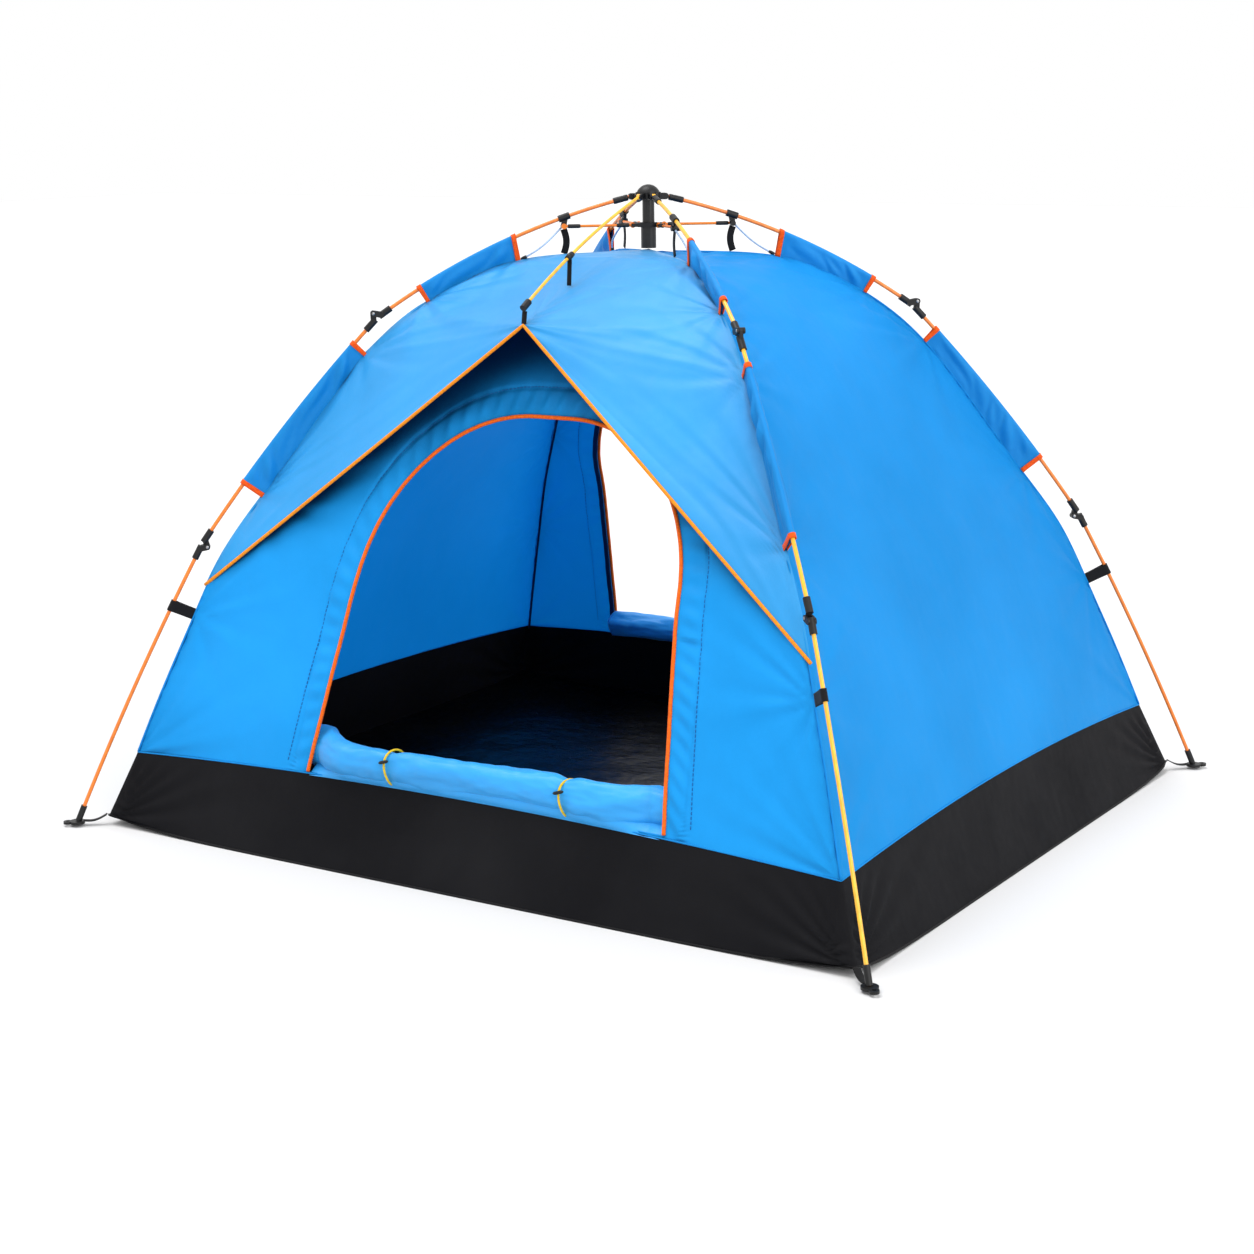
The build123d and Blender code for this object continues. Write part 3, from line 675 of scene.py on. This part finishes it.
def door_wall(side, name, rows=64):
    """A wall's cloth in rings from its door's edge out to its own edges."""
    centre = (DOOR_SHIFT, DOOR_CENTRE_Z)
    low, foot = DOOR_HALF[side], BAND_TOP_R * WIDE
    corners = [(DOOR_SHIFT + low, DOOR_BOTTOM), (DOOR_SHIFT - low, DOOR_BOTTOM)]
    corners += [(foot, BAND_TOP_Z), (-foot, BAND_TOP_Z), (0, TOP_Z)]
    special = [math.atan2(z - centre[1], x - centre[0]) % (2 * math.pi) for x, z in corners]
    angles = np.unique(np.concatenate([np.linspace(0, 2 * math.pi, 560, endpoint=False), special]))
    near = crossing(in_door(side), centre, angles)
    far = np.maximum(crossing(in_wall, centre, angles), near + 0.0005)
    share = np.linspace(0, 1, rows)[:, None] ** 1.15
    d = near + share * (far - near)
    x = centre[0] + d * np.cos(angles)
    z = centre[1] + d * np.sin(angles)
    z = np.clip(z, None, TOP_Z - 0.0005)
    r = radius_at(z)
    w = np.clip(x / np.maximum(r * WIDE, 1e-4), -1, 1)
    s_m = np.interp(-z, -SHELL[:, 1], SHELL_S)
    gap = d - near
    lift = wall_lift(side, s_m, w, edge_slack(gap))
    run = np.cumsum(np.concatenate([[0], np.hypot(np.diff(x[0]), np.diff(z[0]))]))[None, :]
    RAYS[side] = (angles, near, run[0])
    lift = lift + flange_lift(run, gap)
    flat = wall_points(side, s_m, w)[0]
    grid = wall_points(side, s_m, w, lift)[0]
    obj = join_grids(name, [grid], MAT["door_wall" if side == 3 else "shell"], closed=True)
    merge(obj, 0.0002)
    goes_soft(obj)
    return obj


def offset_outline(outline, distance):
    """The door outline moved outward by a distance."""
    t = np.gradient(outline, axis=0)
    t /= np.linalg.norm(t, axis=1)[:, None]
    return outline + np.stack([-t[:, 1], t[:, 0]], -1) * distance


def along_wall(side, outline, lift):
    """Points and outward normals on the wall's real, uneven cloth, lifted off it."""
    w = outline[:, 0] / (radius_at(outline[:, 1]) * WIDE)
    angles, near, run = RAYS[side]
    aside, up = outline[:, 0] - DOOR_SHIFT, outline[:, 1] - DOOR_CENTRE_Z
    angle = np.arctan2(up, aside) % (2 * math.pi)
    gap = np.hypot(aside, up) - np.interp(angle, angles, near)
    s_m = np.interp(-outline[:, 1], -SHELL[:, 1], SHELL_S)
    uneven = wall_lift(side, s_m, w, edge_slack(gap)) + flange_lift(np.interp(angle, angles, run), gap)
    return door_wall_point(side, outline[:, 0], outline[:, 1], uneven + lift)


# The outline runs with the opening on its right, so outward is to its left.
right_walls = side_wall(0, "right_wall_cloth")
left_walls = side_wall(2, "left_wall_cloth")
front_cloth = door_wall(3, "front_wall_cloth")
back_cloth = door_wall(1, "back_wall_cloth")
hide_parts("wall_right")
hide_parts("wall_left")
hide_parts("wall_front")
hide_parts("wall_back")

STITCH_PITCH, STITCH_LENGTH = 0.009, 0.0058
for side, label in ((3, "front"), (1, "back")):
    line = along_wall(side, offset_outline(DOOR[side], 0.002), 0.0006)[0]
    pipe = [tube_grid(line, 0.0042, 10)]
    soft_piece(f"{label}_piping_tape", pipe, "piping_red", f"{label}_door_piping")
    # a row of stitches along the flange seam
    seam_line = offset_outline(door_outline(DOOR_HALF[side], 1600), FLANGE)
    run = np.concatenate([[0], np.cumsum(np.linalg.norm(np.diff(seam_line, axis=0), axis=1))])
    stitches = []
    for start in np.arange(0.01, run[-1] - 0.01, STITCH_PITCH):
        u = np.linspace(start, start + STITCH_LENGTH, 4)
        pair = np.stack([np.interp(u, run, seam_line[:, 0]), np.interp(u, run, seam_line[:, 1])], -1)
        if pair[:, 1].min() < DOOR_BOTTOM:
            continue
        stitches.append(tube_grid(along_wall(side, pair, 0.0004)[0], 0.0009, 5))
    soft_piece(f"{label}_flange_stitches", stitches, "thread")
    # the zip's tape beside the piping, inside the opening's edge
    tape_line, normals = along_wall(side, offset_outline(DOOR[side], 0.010), -0.007)
    across = np.cross(np.gradient(tape_line, axis=0), normals)
    soft_piece(f"{label}_zip_tape", [ribbon_grid(tape_line, across, 0.013, 0.0016)], "seam")

# ---------------- corner seams, taped inside and piped outside

seam_grids, tape_grids = [], []
for leg_name in LEGS:
    az = AZIMUTH[leg_name]
    s_m = np.linspace(0.06, SHELL_LENGTH - 0.002, 160)
    r, z = shell_at(s_m)
    seam_grids.append(tube_grid(turn(np.stack([r, 0 * r, z], -1), az), 0.0022, 8))
    inner = turn(np.stack([r - 0.013, 0 * r, z - 0.008], -1), az)
    tape_grids.append(ribbon_grid(inner, turn(np.array([0.0, 1.0, 0.0]), az), 0.006, 0.0014))
soft_piece("corner_seam_piping", seam_grids, "shell")
soft_piece("corner_seam_tapes", tape_grids, "seam")

# ---------------- base band and groundsheet


def band_bottom(w):
    """The band's foot lifts a little at the corners, where the straps pull it."""
    return 0.0015 + 0.020 * np.abs(w) ** 7


BAND_WIDTH = 0.17
band_grids = []
for side in range(4):
    out_f, side_f = (WIDE, DEEP) if side % 2 == 0 else (DEEP, WIDE)
    w = np.linspace(-1, 1, 160)[None, :]
    v = np.linspace(0, 1, 30)[:, None]
    z = band_top(w) + (band_bottom(w) - band_top(w)) * v
    share = (BAND_TOP_Z - z) / (BAND_TOP_Z - 0.002)
    slope = BAND_TOP_R + (BAND_BOTTOM_R - BAND_TOP_R) * np.clip(share, 0, 1)
    r = np.where(share < 0, radius_at(z), slope)
    corner = np.minimum(1 - w, 1 + w) * BAND_BOTTOM_R * side_f
    above = BAND_WIDTH * (1 - v)
    d = np.hypot(corner, above) + 1e-6
    ang = np.arctan2(above, corner)
    crease = 0.0075 * np.cos(ang * 23 + side) * np.exp(-d / 0.15) * (1 - np.exp(-d / 0.02))
    crease = crease * np.clip(corner / 0.03, 0, 1) * np.clip(v / 0.3, 0, 1)
    spots = np.stack(np.broadcast_arrays(w * side_f + side * 3, z * 2.0, 0 * z), -1)
    mid = np.sin(math.pi * v)
    soft = fabric_noise(spots, 6.0, side).reshape(z.shape) * 0.004 * np.clip(corner / 0.05, 0, 1) * mid
    hollow = -0.006 * mid * (1 - w**2)
    lift = crease + soft + hollow
    local = np.stack(np.broadcast_arrays(r * out_f + lift, w * r * side_f, z), -1)
    band_grids.append(turn(local, side * math.pi / 2))
band = join_grids("base_band_cloth", band_grids, MAT["band"])
merge(band, 0.0006)
goes_soft(band)
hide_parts("base_band")
area = sum(grid_area(g) for g in band_grids)
for name, row, radius, finish in (("base_hem", -1, 0.0028, "black_tape"), ("band_seam", 0, 0.0016, "shell")):
    path = np.concatenate([g[row][:-1] for g in band_grids] + [band_grids[0][row][:1]])
    soft_piece(name, [tube_grid(path, radius, 8)], finish)

u = np.linspace(-1, 1, 120)[None, :]
v = np.linspace(-1, 1, 100)[:, None]
gx, gy = np.broadcast_arrays(u * (BAND_BOTTOM_R * WIDE - 0.002), v * (BAND_BOTTOM_R * DEEP - 0.002))
corner_lift = 0.020 * np.maximum(np.abs(u), np.abs(v)) ** 7 * np.minimum(np.abs(u), np.abs(v)) ** 7
ground = np.stack([gx, gy, 0 * gx], -1)
rumple = fabric_noise(ground, 5.0, 2).reshape(gx.shape) * 0.003
rumple = rumple + fabric_noise(ground, 17.0, 4).reshape(gx.shape) * 0.0016
patch = np.exp(-(((gx - 0.30) / 0.12) ** 2 + ((gy + 0.33) / 0.10) ** 2))
rumple = rumple + 0.004 * patch * fabric_noise(ground, 45.0, 6).reshape(gx.shape)
ground[..., 2] = 0.0035 + np.abs(rumple) + corner_lift
floor_cloth = join_grids("groundsheet_cloth", [ground], MAT["floor"])
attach(floor_cloth, "shell")
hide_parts("groundsheet")

# ---------------- awning

TIP = np.array([0.0, -0.490, KNEE_1[1] + 0.010])
AWNING_END = 0.540  # height at which the awning's edge meets the corner seams
S_FLAT = nearest_s(SHELL_LINE[2])
S_TIP = s_at_z(TIP[2])
S_END = s_at_z(AWNING_END)


def awning_grid(cols=64):
    """The awning's cloth, and its right half: from the corner seams in to the line over its tip."""
    parts = ((0.0, S_FLAT, 24), (S_FLAT, S_TIP, 40), (S_TIP, S_END, 67))
    s_m = np.concatenate([[0.0]] + [np.linspace(*part)[1:] for part in parts])
    r, z = shell_at(s_m)
    seam = turn(np.stack([r + 0.003, 0 * r + 0.0025, z + 0.0045], -1), -PLAN)
    seam[:, 0] = np.maximum(seam[:, 0], 0.0)
    middle = wall_points(3, np.minimum(s_m, S_FLAT), np.zeros_like(s_m), np.full(s_m.shape, 0.006))[0]
    share = np.clip((s_m - S_FLAT) / (S_TIP - S_FLAT), 0, 1)[:, None]
    target = middle + (TIP - middle) * share
    target[s_m <= S_FLAT] = middle[s_m <= S_FLAT]
    v = np.linspace(0, 1, cols)[None, :, None]
    half = seam[:, None] + (target - seam)[:, None] * v
    length = np.linalg.norm(target - seam, axis=1)[:, None]
    from_tip = np.linalg.norm(half - TIP, axis=2)
    low = (v[..., 0] * (1 - v[..., 0]) * 4) * np.clip(length / 0.6, 0, 1)
    sag = -0.012 * low * np.clip((s_m[:, None] - S_FLAT) / 0.3, 0, 1)
    ang = np.arctan2(half[..., 2] - TIP[2], half[..., 0] + 0.02)
    pull = 0.0026 * np.cos(ang * 17) * np.exp(-from_tip / 0.16) * (1 - np.exp(-from_tip / 0.03))
    seam_d = v[..., 0] * length
    folds = tension(np.broadcast_to(s_m[:, None], seam_d.shape), seam_d, 3)
    soft = fabric_noise(half, 3.0, 21).reshape(seam_d.shape) * 0.005
    fine = fabric_noise(half * np.array([1.0, 1.0, 0.5]), 12.0, 25).reshape(seam_d.shape) * 0.0022
    hold = np.clip(seam_d / 0.05, 0, 1) * np.clip((length - seam_d) / 0.05 + (s_m[:, None] < S_FLAT), 0, 1)
    hem = np.clip((S_END - s_m[:, None]) / 0.12, 0.08, 1)
    lift = (sag + pull + folds + (soft + fine) * hold) * hem
    lift = np.maximum(lift, np.where(s_m[:, None] < S_FLAT + 0.08, -0.002, -1.0))
    half[..., 2] += lift * 0.75
    half[..., 1] -= lift * 0.6
    left = half * np.array([-1.0, 1.0, 1.0])
    return np.concatenate([left, half[:, ::-1][:, 1:]], axis=1), half


AWNING, AWNING_HALF = awning_grid()
awning = join_grids("awning_sheet", [AWNING], MAT["awning"])
merge(awning, 0.0002)
goes_soft(awning)
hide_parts("awning")
# laid flat, each half is a triangle: apex, tip and the low end of its seam
area = grid_area(AWNING) * 0.995  # the folds take up the rest
edge = tube_grid(AWNING[-1] + np.array([0, -0.0006, -0.0006]), 0.0036, 10)
soft_piece("awning_edge_tape", [edge], "piping_orange", "awning_piping")

# ---------------- pole sleeves


POLE_LENGTH = 0.64
WEB = 9  # points down each side of a sleeve's web


def sleeve_section(point, seam, radius, gap):
    """Teardrop round a pole and down to the seam: points (outward, aside, up)."""
    down = seam - point
    reach = np.linalg.norm(down)
    down = down / reach
    one = [(reach * (1 - k), gap + (radius - gap) * k**1.6) for k in np.linspace(0, 1, WEB)]
    ring = [(-radius * math.sin(t), radius * math.cos(t)) for t in np.linspace(0.15, math.pi - 0.15, 9)]
    other = [(depth, -aside) for depth, aside in one[::-1]]
    out = []
    for depth, aside in one + ring + other:
        p = point + down * depth
        out.append((p[0], aside, p[1]))
    return out


def sleeve_grid(line, a, b, count, radius=0.0064, gap=0.0012, wrinkle=1.0, seed=0):
    """A sleeve in its leg's frame, on a pole from share a to share b of its length."""
    shares = np.linspace(a, b, count)
    centre = along_line(line, shares)
    s0, s1 = nearest_s(centre[0]), nearest_s(centre[-1])
    seam = np.stack(shell_at(np.linspace(s0, s1, count)), -1)
    grid = np.array([sleeve_section(centre[i], seam[i], radius, gap) for i in range(count)])
    if wrinkle:
        cols = grid.shape[1]
        j = np.arange(cols)[None, :]
        k = np.minimum(j, cols - 1 - j)
        depth = np.clip(np.sin(math.pi * k / WEB), 0, 1) * (k < WEB)
        run = (shares[:, None] - a) * POLE_LENGTH
        diag = np.sin((run + 0.010 * k) / 0.017 + 2.5 * np.sin(run * 17 + seed) + seed)
        slow = np.sin((run - 0.006 * k) / 0.043 + seed * 2.1)
        side = np.where(j < cols / 2, 1.0, -1.0)
        left = (b - a) * POLE_LENGTH - run
        ends = np.clip((run - 0.014) / 0.03, 0, 1) * np.clip((left - 0.014) / 0.03, 0, 1)
        amount = (0.0052 * diag + 0.0042 * slow) * depth * wrinkle * ends
        grid[..., 1] += side * np.abs(amount) + 0.35 * amount
    return grid


END_TAPE = 0.011 / POLE_LENGTH
band_parts = []
for leg_index, leg_name in enumerate(LEGS):
    az = AZIMUTH[leg_name]
    for level, (line, a, b) in SLEEVES.items():
        grid = turn(sleeve_grid(line, a, b, 110, seed=leg_index * 2 + (level == "upper")), az)
        obj = join_grids(f"{level}_sleeve_{leg_name}", [grid], MAT["sleeve"])
        goes_soft(obj)
        if leg_index == 0:
            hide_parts(f"{level}_sleeves")
        area = grid_area(turn(sleeve_grid(line, a, b, 110, wrinkle=0), az))
        for start in (a - END_TAPE * 0.35, b - END_TAPE * 0.65):
            tape = sleeve_grid(line, start, start + END_TAPE, 4, radius=0.0080, gap=0.0042, wrinkle=0)
            band_parts.append(turn(tape, az))
bands = join_grids("sleeve_end_bands", band_parts, MAT["tape"])
solid = bands.modifiers.new("thick", "SOLIDIFY")
solid.thickness = 0.0012
goes_soft(bands)

# ---------------- straps

TEE_EYE_R, TEE_EYE_Z = 0.190, HUB_Z - 0.062
OUTWARD, ASIDE = np.array([1.0, 0.0, 0.0]), np.array([0.0, 1.0, 0.0])


def leg_path(r, z, azimuth, aside=0.0):
    """A line in a leg's own upright plane, or a little aside of it."""
    return turn(np.stack([r, 0 * r + aside, z], -1), azimuth)


hangers = []
for az in AZIMUTH.values():
    k = np.linspace(0, 1, 14)
    z = TEE_EYE_Z - 0.0065 + (TOP_Z - 0.002 - TEE_EYE_Z + 0.0065) * k
    r = TEE_EYE_R - 0.006 * np.sin(math.pi * k)
    hangers.append(ribbon_grid(leg_path(r, z, az), turn(OUTWARD, az), 0.015, 0.0020))
soft_piece("hanger_webbing", hangers, "black_tape", "hanger_straps")

ELASTIC_END_R = 0.285
ELASTIC_END_Z = float(np.interp(ELASTIC_END_R, SHELL[:, 0], SHELL[:, 1])) + 0.004
elastics, stoppers = [], []
for az in AZIMUTH.values():
    k = np.linspace(0, 1, 24)
    bow = np.sin(math.pi * k)
    r = TEE_EYE_R + 0.006 + (ELASTIC_END_R - TEE_EYE_R - 0.006) * k
    z = TEE_EYE_Z - 0.004 + (ELASTIC_END_Z - TEE_EYE_Z + 0.004) * k - 0.006 * bow
    path = leg_path(r, z, az, 0.012 * bow)
    elastics.append(tube_grid(path, 0.0023, 8))
    stoppers.append(tube_grid(path[-4:], [0.0032, 0.0040, 0.0040, 0.0030], 10))
soft_piece("elastic_cords", elastics, "elastic")
soft_piece("elastic_cord_ends", stoppers, "plastic")

LOOP = sleeve_grid(LOWER, LOOP_SHARE - 0.018, LOOP_SHARE + 0.018, 10, radius=0.0068, gap=0.0010, wrinkle=0)
loops = [turn(LOOP, az) for az in AZIMUTH.values()]
loop = join_grids("pole_loop_webbing", loops, MAT["black_tape"])
thick = loop.modifiers.new("thick", "SOLIDIFY")
thick.thickness = 0.0013
goes_soft(loop)
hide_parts("pole_loops")

corners = []
for az in AZIMUTH.values():
    k = np.linspace(0, 1, 16)
    r = BAND_BOTTOM_R - 0.004 + (FOOT_R - 0.014 - BAND_BOTTOM_R + 0.004) * k
    z = 0.024 - 0.012 * k - 0.006 * np.sin(math.pi * k)
    corners.append(ribbon_grid(leg_path(r, z, az), turn(ASIDE, az), 0.016, 0.0018))
corner = join_grids("corner_webbing", corners, MAT["black_tape"], closed=True)
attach(corner, "shell")
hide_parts("corner_straps")

# the clip and the two straps under the awning rod
front = -math.pi / 2
CLIP_SHARE = 0.60
clip = along_line(ROD, np.array([CLIP_SHARE - 0.022, CLIP_SHARE, CLIP_SHARE + 0.022]))
clip_tube = tube_grid(leg_path(clip[:, 0], clip[:, 1], front), [0.0062, 0.0070, 0.0062], 14)
rod_clip = join_grids("awning_rod_clip", [clip_tube], MAT["plastic"], closed=True)
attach(rod_clip, "awning_arm")
k = np.linspace(0, 1, 10)
top = clip[1][1] - 0.006
below = np.interp(clip[1][0], [0.209, ROD_TIP[0]], [TOP_Z - 0.018, TIP[2]]) + 0.003
clip_strap = leg_path(clip[1][0] + 0.004 * k, top + (below - top) * k, front)
k = np.linspace(0, 1, 8)
top = HUB_Z - 0.216
tip_strap = leg_path(0.484 + 0.004 * k, top + (TIP[2] + 0.002 - top) * k, front)
straps = [ribbon_grid(clip_strap, OUTWARD, 0.011, 0.0018), ribbon_grid(tip_strap, OUTWARD, 0.012, 0.0022)]
soft_piece("awning_rod_straps", straps, "black_tape")

# ---------------- rolled doors


TIE_ASIDE = 0.22  # from the door's middle to each tie
ROLL_ROWS, ROLL_COLS = 260, 72


def rolled_door(name, node, side, radius, tuck, seed):
    """A door rolled up along its sill, its ends tucked behind the wall beside the opening."""
    lo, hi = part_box(node)
    inward = 1 if side == 3 else -1
    half = DOOR_HALF[side] + 0.018
    centre_x = inward * (DOOR_SHIFT - 0.015)
    u = np.linspace(-1, 1, ROLL_ROWS)[:, None]
    a = np.linspace(0, 2 * math.pi, ROLL_COLS, endpoint=False)[None, :]
    x = u * half
    hidden = np.clip((np.abs(u) - 0.70) / 0.20, 0, 1)
    flare = (side == 3) * np.clip((-u - 0.62) / 0.28, 0, 1) ** 2
    centre_y = (lo.y + hi.y) / 2 + inward * (tuck * hidden**1.5 + 0.006 * flare)
    centre_z = (lo.z + hi.z) / 2 + 0.007 * flare
    ends = np.clip((1 - np.abs(u)) / 0.03, 0, 1) ** 0.5
    from_middle = x + centre_x - inward * DOOR_SHIFT
    pinch = 1 - 0.15 * sum(np.exp(-(((from_middle - t) / 0.020) ** 2)) for t in (-TIE_ASIDE, TIE_ASIDE))
    body = np.stack(np.broadcast_arrays(x * 4.5, np.cos(a) * 0.5, np.sin(a) * 0.5), -1)
    soft = fabric_noise(body, 2.0, seed).reshape(ROLL_ROWS, ROLL_COLS) * 0.16
    fine = fabric_noise(body, 7.0, seed + 3).reshape(ROLL_ROWS, ROLL_COLS) * 0.05
    spiral = 0.06 * np.sin(a * 2 + x * 5 + seed) + 0.04 * np.sin(a * 3 - x * 9)
    drag = np.sin(a * 5 + x * 22 + 2.0 * np.sin(x * 7 + seed)) * np.clip(np.sin(x * 13 + seed), 0, 1)
    lap = 0.05 * (np.clip(np.mod(a - 0.9 + 0.3 * np.sin(x * 6), 2 * math.pi), 0, 0.5) - 0.5)
    r = radius * (1 + soft + spiral + 0.05 * drag + fine + lap + 0.14 * flare) * pinch * ends
    droop = -0.005 * np.cos(x * 5 + seed)
    y = centre_y + r * np.cos(a) * 0.86
    z = centre_z + droop * ends + r * np.sin(a) * 1.03
    grid = np.stack(np.broadcast_arrays(centre_x + x, y, z), -1)
    obj = join_grids(name, [grid], MAT["roll"], closed=True)
    merge(obj, 0.0005)
    goes_soft(obj)
    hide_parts(node)
    return grid


front_roll = rolled_door("front_door_bundle", "front_door_roll", 3, 0.037, 0.042, 3)
rolled_door("back_door_bundle", "back_door_roll", 1, 0.030, 0.006, 8)

# the door's cloth runs up from the band's seam into the lower front of its roll
LOW_FRONT = 44  # the roll's column of points that the cloth runs into
FLAP_ROWS, FLAP_COLS = 14, 160
flap_x = np.linspace(-1, 1, FLAP_COLS) * (DOOR_HALF[3] - 0.004) + DOOR_SHIFT
seam_z = np.maximum(band_top(flap_x / (BAND_TOP_R * WIDE)) - 0.004, BAND_TOP_Z)
sill, _ = along_wall(3, np.stack([flap_x, seam_z], -1), 0.003)
face, opposite = front_roll[:, LOW_FRONT], front_roll[:, (LOW_FRONT + ROLL_COLS // 2) % ROLL_COLS]
tuck_line = face + 0.04 * (opposite - face)
roll_front = np.stack([np.interp(flap_x, tuck_line[:, 0], tuck_line[:, k]) for k in range(3)], -1)
flap_v = np.linspace(0, 1, FLAP_ROWS)[:, None, None]
flap = sill[None] + (roll_front - sill)[None] * flap_v
bulge = np.sin(math.pi * flap_v[..., 0])
uneven = fabric_noise(flap * np.array([1.0, 1.0, 0.4]), 22.0, 12).reshape(FLAP_ROWS, FLAP_COLS)
flap[..., 1] -= bulge * 0.003 + uneven * 0.003 * np.sqrt(np.clip(bulge, 0, 1))
front_flap = join_grids("front_door_flap", [flap], MAT["roll"])
goes_soft(front_flap)

tie_lo, tie_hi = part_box("door_ties")
tie_mid = (tie_lo + tie_hi) / 2
tie_grids, toggle_grids = [], []
a = np.linspace(0, 2 * math.pi, 40)
t = np.linspace(-1, 1, 9)
for x0 in (tie_mid.x - TIE_ASIDE, tie_mid.x + TIE_ASIDE):
    ring = [x0 + 0.004 * np.sin(a * 2), tie_mid.y + 0.0345 * np.cos(a), tie_mid.z + 0.0375 * np.sin(a)]
    tie_grids.append(tube_grid(np.stack(ring, -1), 0.0024, 8))
    bar = np.stack([x0 + 0.013 * t, tie_mid.y - 0.037 + 0 * t, tie_mid.z + 0.020 + 0.004 * t], -1)
    toggle_grids.append(tube_grid(bar, 0.0036 * np.sqrt(np.clip(1.05 - t**4, 0.05, 1)), 10))
soft_piece("roll_tie_cords", tie_grids, "yellow_cord", "door_ties")
soft_piece("roll_tie_toggles", toggle_grids, "plastic")

# ---------------- hardware details that ride on the frame


COLLAR_PROFILE = [0.9, 1, 1, 1, 0.93, 1, 1, 1, 1, 1, 1, 1, 1, 0.92]
SOCKET_RADII = [0.0040] + [0.0046] * 8 + [0.0040]
RIVET_STEPS = np.array([0.0, 0.0003, 0.0009, 0.0014])[:, None]
RIVET_RADII = [0.0036, 0.0036, 0.0030, 0.0016]
KNEE_HALF_WIDTH = 0.0086
STRUT_ASIDE = 0.0115

for leg_name, az in AZIMUTH.items():
    c = along_line(UPPER, np.linspace(0.013, 0.066, len(COLLAR_PROFILE)))
    collar_tube = tube_grid(leg_path(c[:, 0], c[:, 1], az), 0.0070 * np.array(COLLAR_PROFILE), 16)
    collar = join_grids(f"hub_collar_{leg_name}", [collar_tube], MAT["plastic"], closed=True)
    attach(collar, f"upper_{leg_name}")
    pivot = np.array(JOINTS[f"strut_hinge_{leg_name}"]["pos_m"])
    eye = turn(np.array([TEE_EYE_R, 0.0, TEE_EYE_Z]), az)
    side_way = turn(ASIDE, az)
    ends = []
    for p, q in ((pivot, eye), (eye, pivot)):
        d = (q - p) / np.linalg.norm(q - p)
        path = p + side_way * STRUT_ASIDE + np.outer(np.linspace(0.008, 0.036, len(SOCKET_RADII)), d)
        ends.append(tube_grid(path, SOCKET_RADII, 14))
    sockets = join_grids(f"strut_end_sockets_{leg_name}", ends, MAT["plastic"], closed=True)
    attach(sockets, f"strut_{leg_name}")
    for level in ("upper", "lower"):
        pin = np.array(JOINTS[f"{level}_knee_{leg_name}"]["pos_m"])
        heads = []
        for outward in (-side_way, side_way):
            path = pin + outward * KNEE_HALF_WIDTH + outward * RIVET_STEPS
            heads.append(tube_grid(path, RIVET_RADII, 16))
        rivets = join_grids(f"{level}_knee_rivets_{leg_name}", heads, MAT["rivet"], closed=True)
        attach(rivets, f"{level}_{leg_name}")

# ---------------- finishes on the carried-over CAD nodes


def finish_of(name):
    # The front-right leg's poles share the rod's yellow as painted light: the same orange poles, drawn
    # lighter where light falls on that side.
    if name in ("awning_rod", "upper_pole_front_right", "middle_pole_front_right", "lower_pole_front_right"):
        return MAT["yellow_pole"]
    if "pole_" in name and not name.startswith("pole_loops"):
        return MAT["pole"]
    if name.startswith("strut"):
        return MAT["strut"]
    if name in ("inner_tube", "outer_tube"):
        return MAT["tube"]
    return MAT["plastic"]


for name, obj in frame["nodes"].items():
    obj.data.materials.clear()
    obj.data.materials.append(finish_of(name))

# ---------------- floor, light, camera

bpy.ops.mesh.primitive_plane_add(size=60, location=(0, 0, 0))
floor = bpy.context.object
floor.name = "studio_floor"
paper, _, paper_shader, _ = new_material("studio_paper")
put(paper_shader, {"Base Color": (0.64, 0.64, 0.645, 1), "Roughness": 0.9})
floor.data.materials.append(paper)

world = bpy.data.worlds.new("studio")
bpy.context.scene.world = world
world.use_nodes = True
sky = world.node_tree.nodes["Background"]
put(sky, {"Color": (1, 1, 1, 1), "Strength": 1.0})


def sun_light(name, towards, strength, spread):
    light = bpy.data.lights.new(name, "SUN")
    light.energy = strength
    light.angle = math.radians(spread)
    obj = bpy.data.objects.new(name, light)
    obj.rotation_mode = "QUATERNION"
    obj.rotation_quaternion = Vector(towards).to_track_quat("Z", "Y")
    bpy.context.scene.collection.objects.link(obj)


sun_light("key", (-0.30, -0.10, 1.0), 2.0, 40)
sun_light("fill", (1.0, -0.30, 0.5), 1.65, 60)

CAMERA_AZIMUTH = math.radians(32.74)
CAMERA_ELEVATION = math.radians(12.43)
CAMERA_ROLL = math.radians(-0.65)
CAMERA_TARGET = Vector((0.342, -0.639, 0.565))
CAMERA_DISTANCE = 4.70
CAMERA_LENS = 67.8
flat = math.cos(CAMERA_ELEVATION)
back = Vector((math.sin(CAMERA_AZIMUTH) * flat, -math.cos(CAMERA_AZIMUTH) * flat, math.sin(CAMERA_ELEVATION)))
right = (-back).cross(Vector((0, 0, 1))).normalized()
up = right.cross(-back)
cos_roll, sin_roll = math.cos(CAMERA_ROLL), math.sin(CAMERA_ROLL)
x_axis = right * cos_roll + up * sin_roll
y_axis = -right * sin_roll + up * cos_roll
pose = Matrix((x_axis, y_axis, back)).transposed().to_4x4()
pose.translation = CAMERA_TARGET + back * CAMERA_DISTANCE
camera_data = bpy.data.cameras.new("camera")
camera_data.sensor_width = 36.0
camera_data.lens = CAMERA_LENS
camera = bpy.data.objects.new("camera", camera_data)
camera.matrix_world = pose
bpy.context.scene.collection.objects.link(camera)
bpy.context.scene.camera = camera
bpy.context.scene.view_settings.view_transform = "Standard"
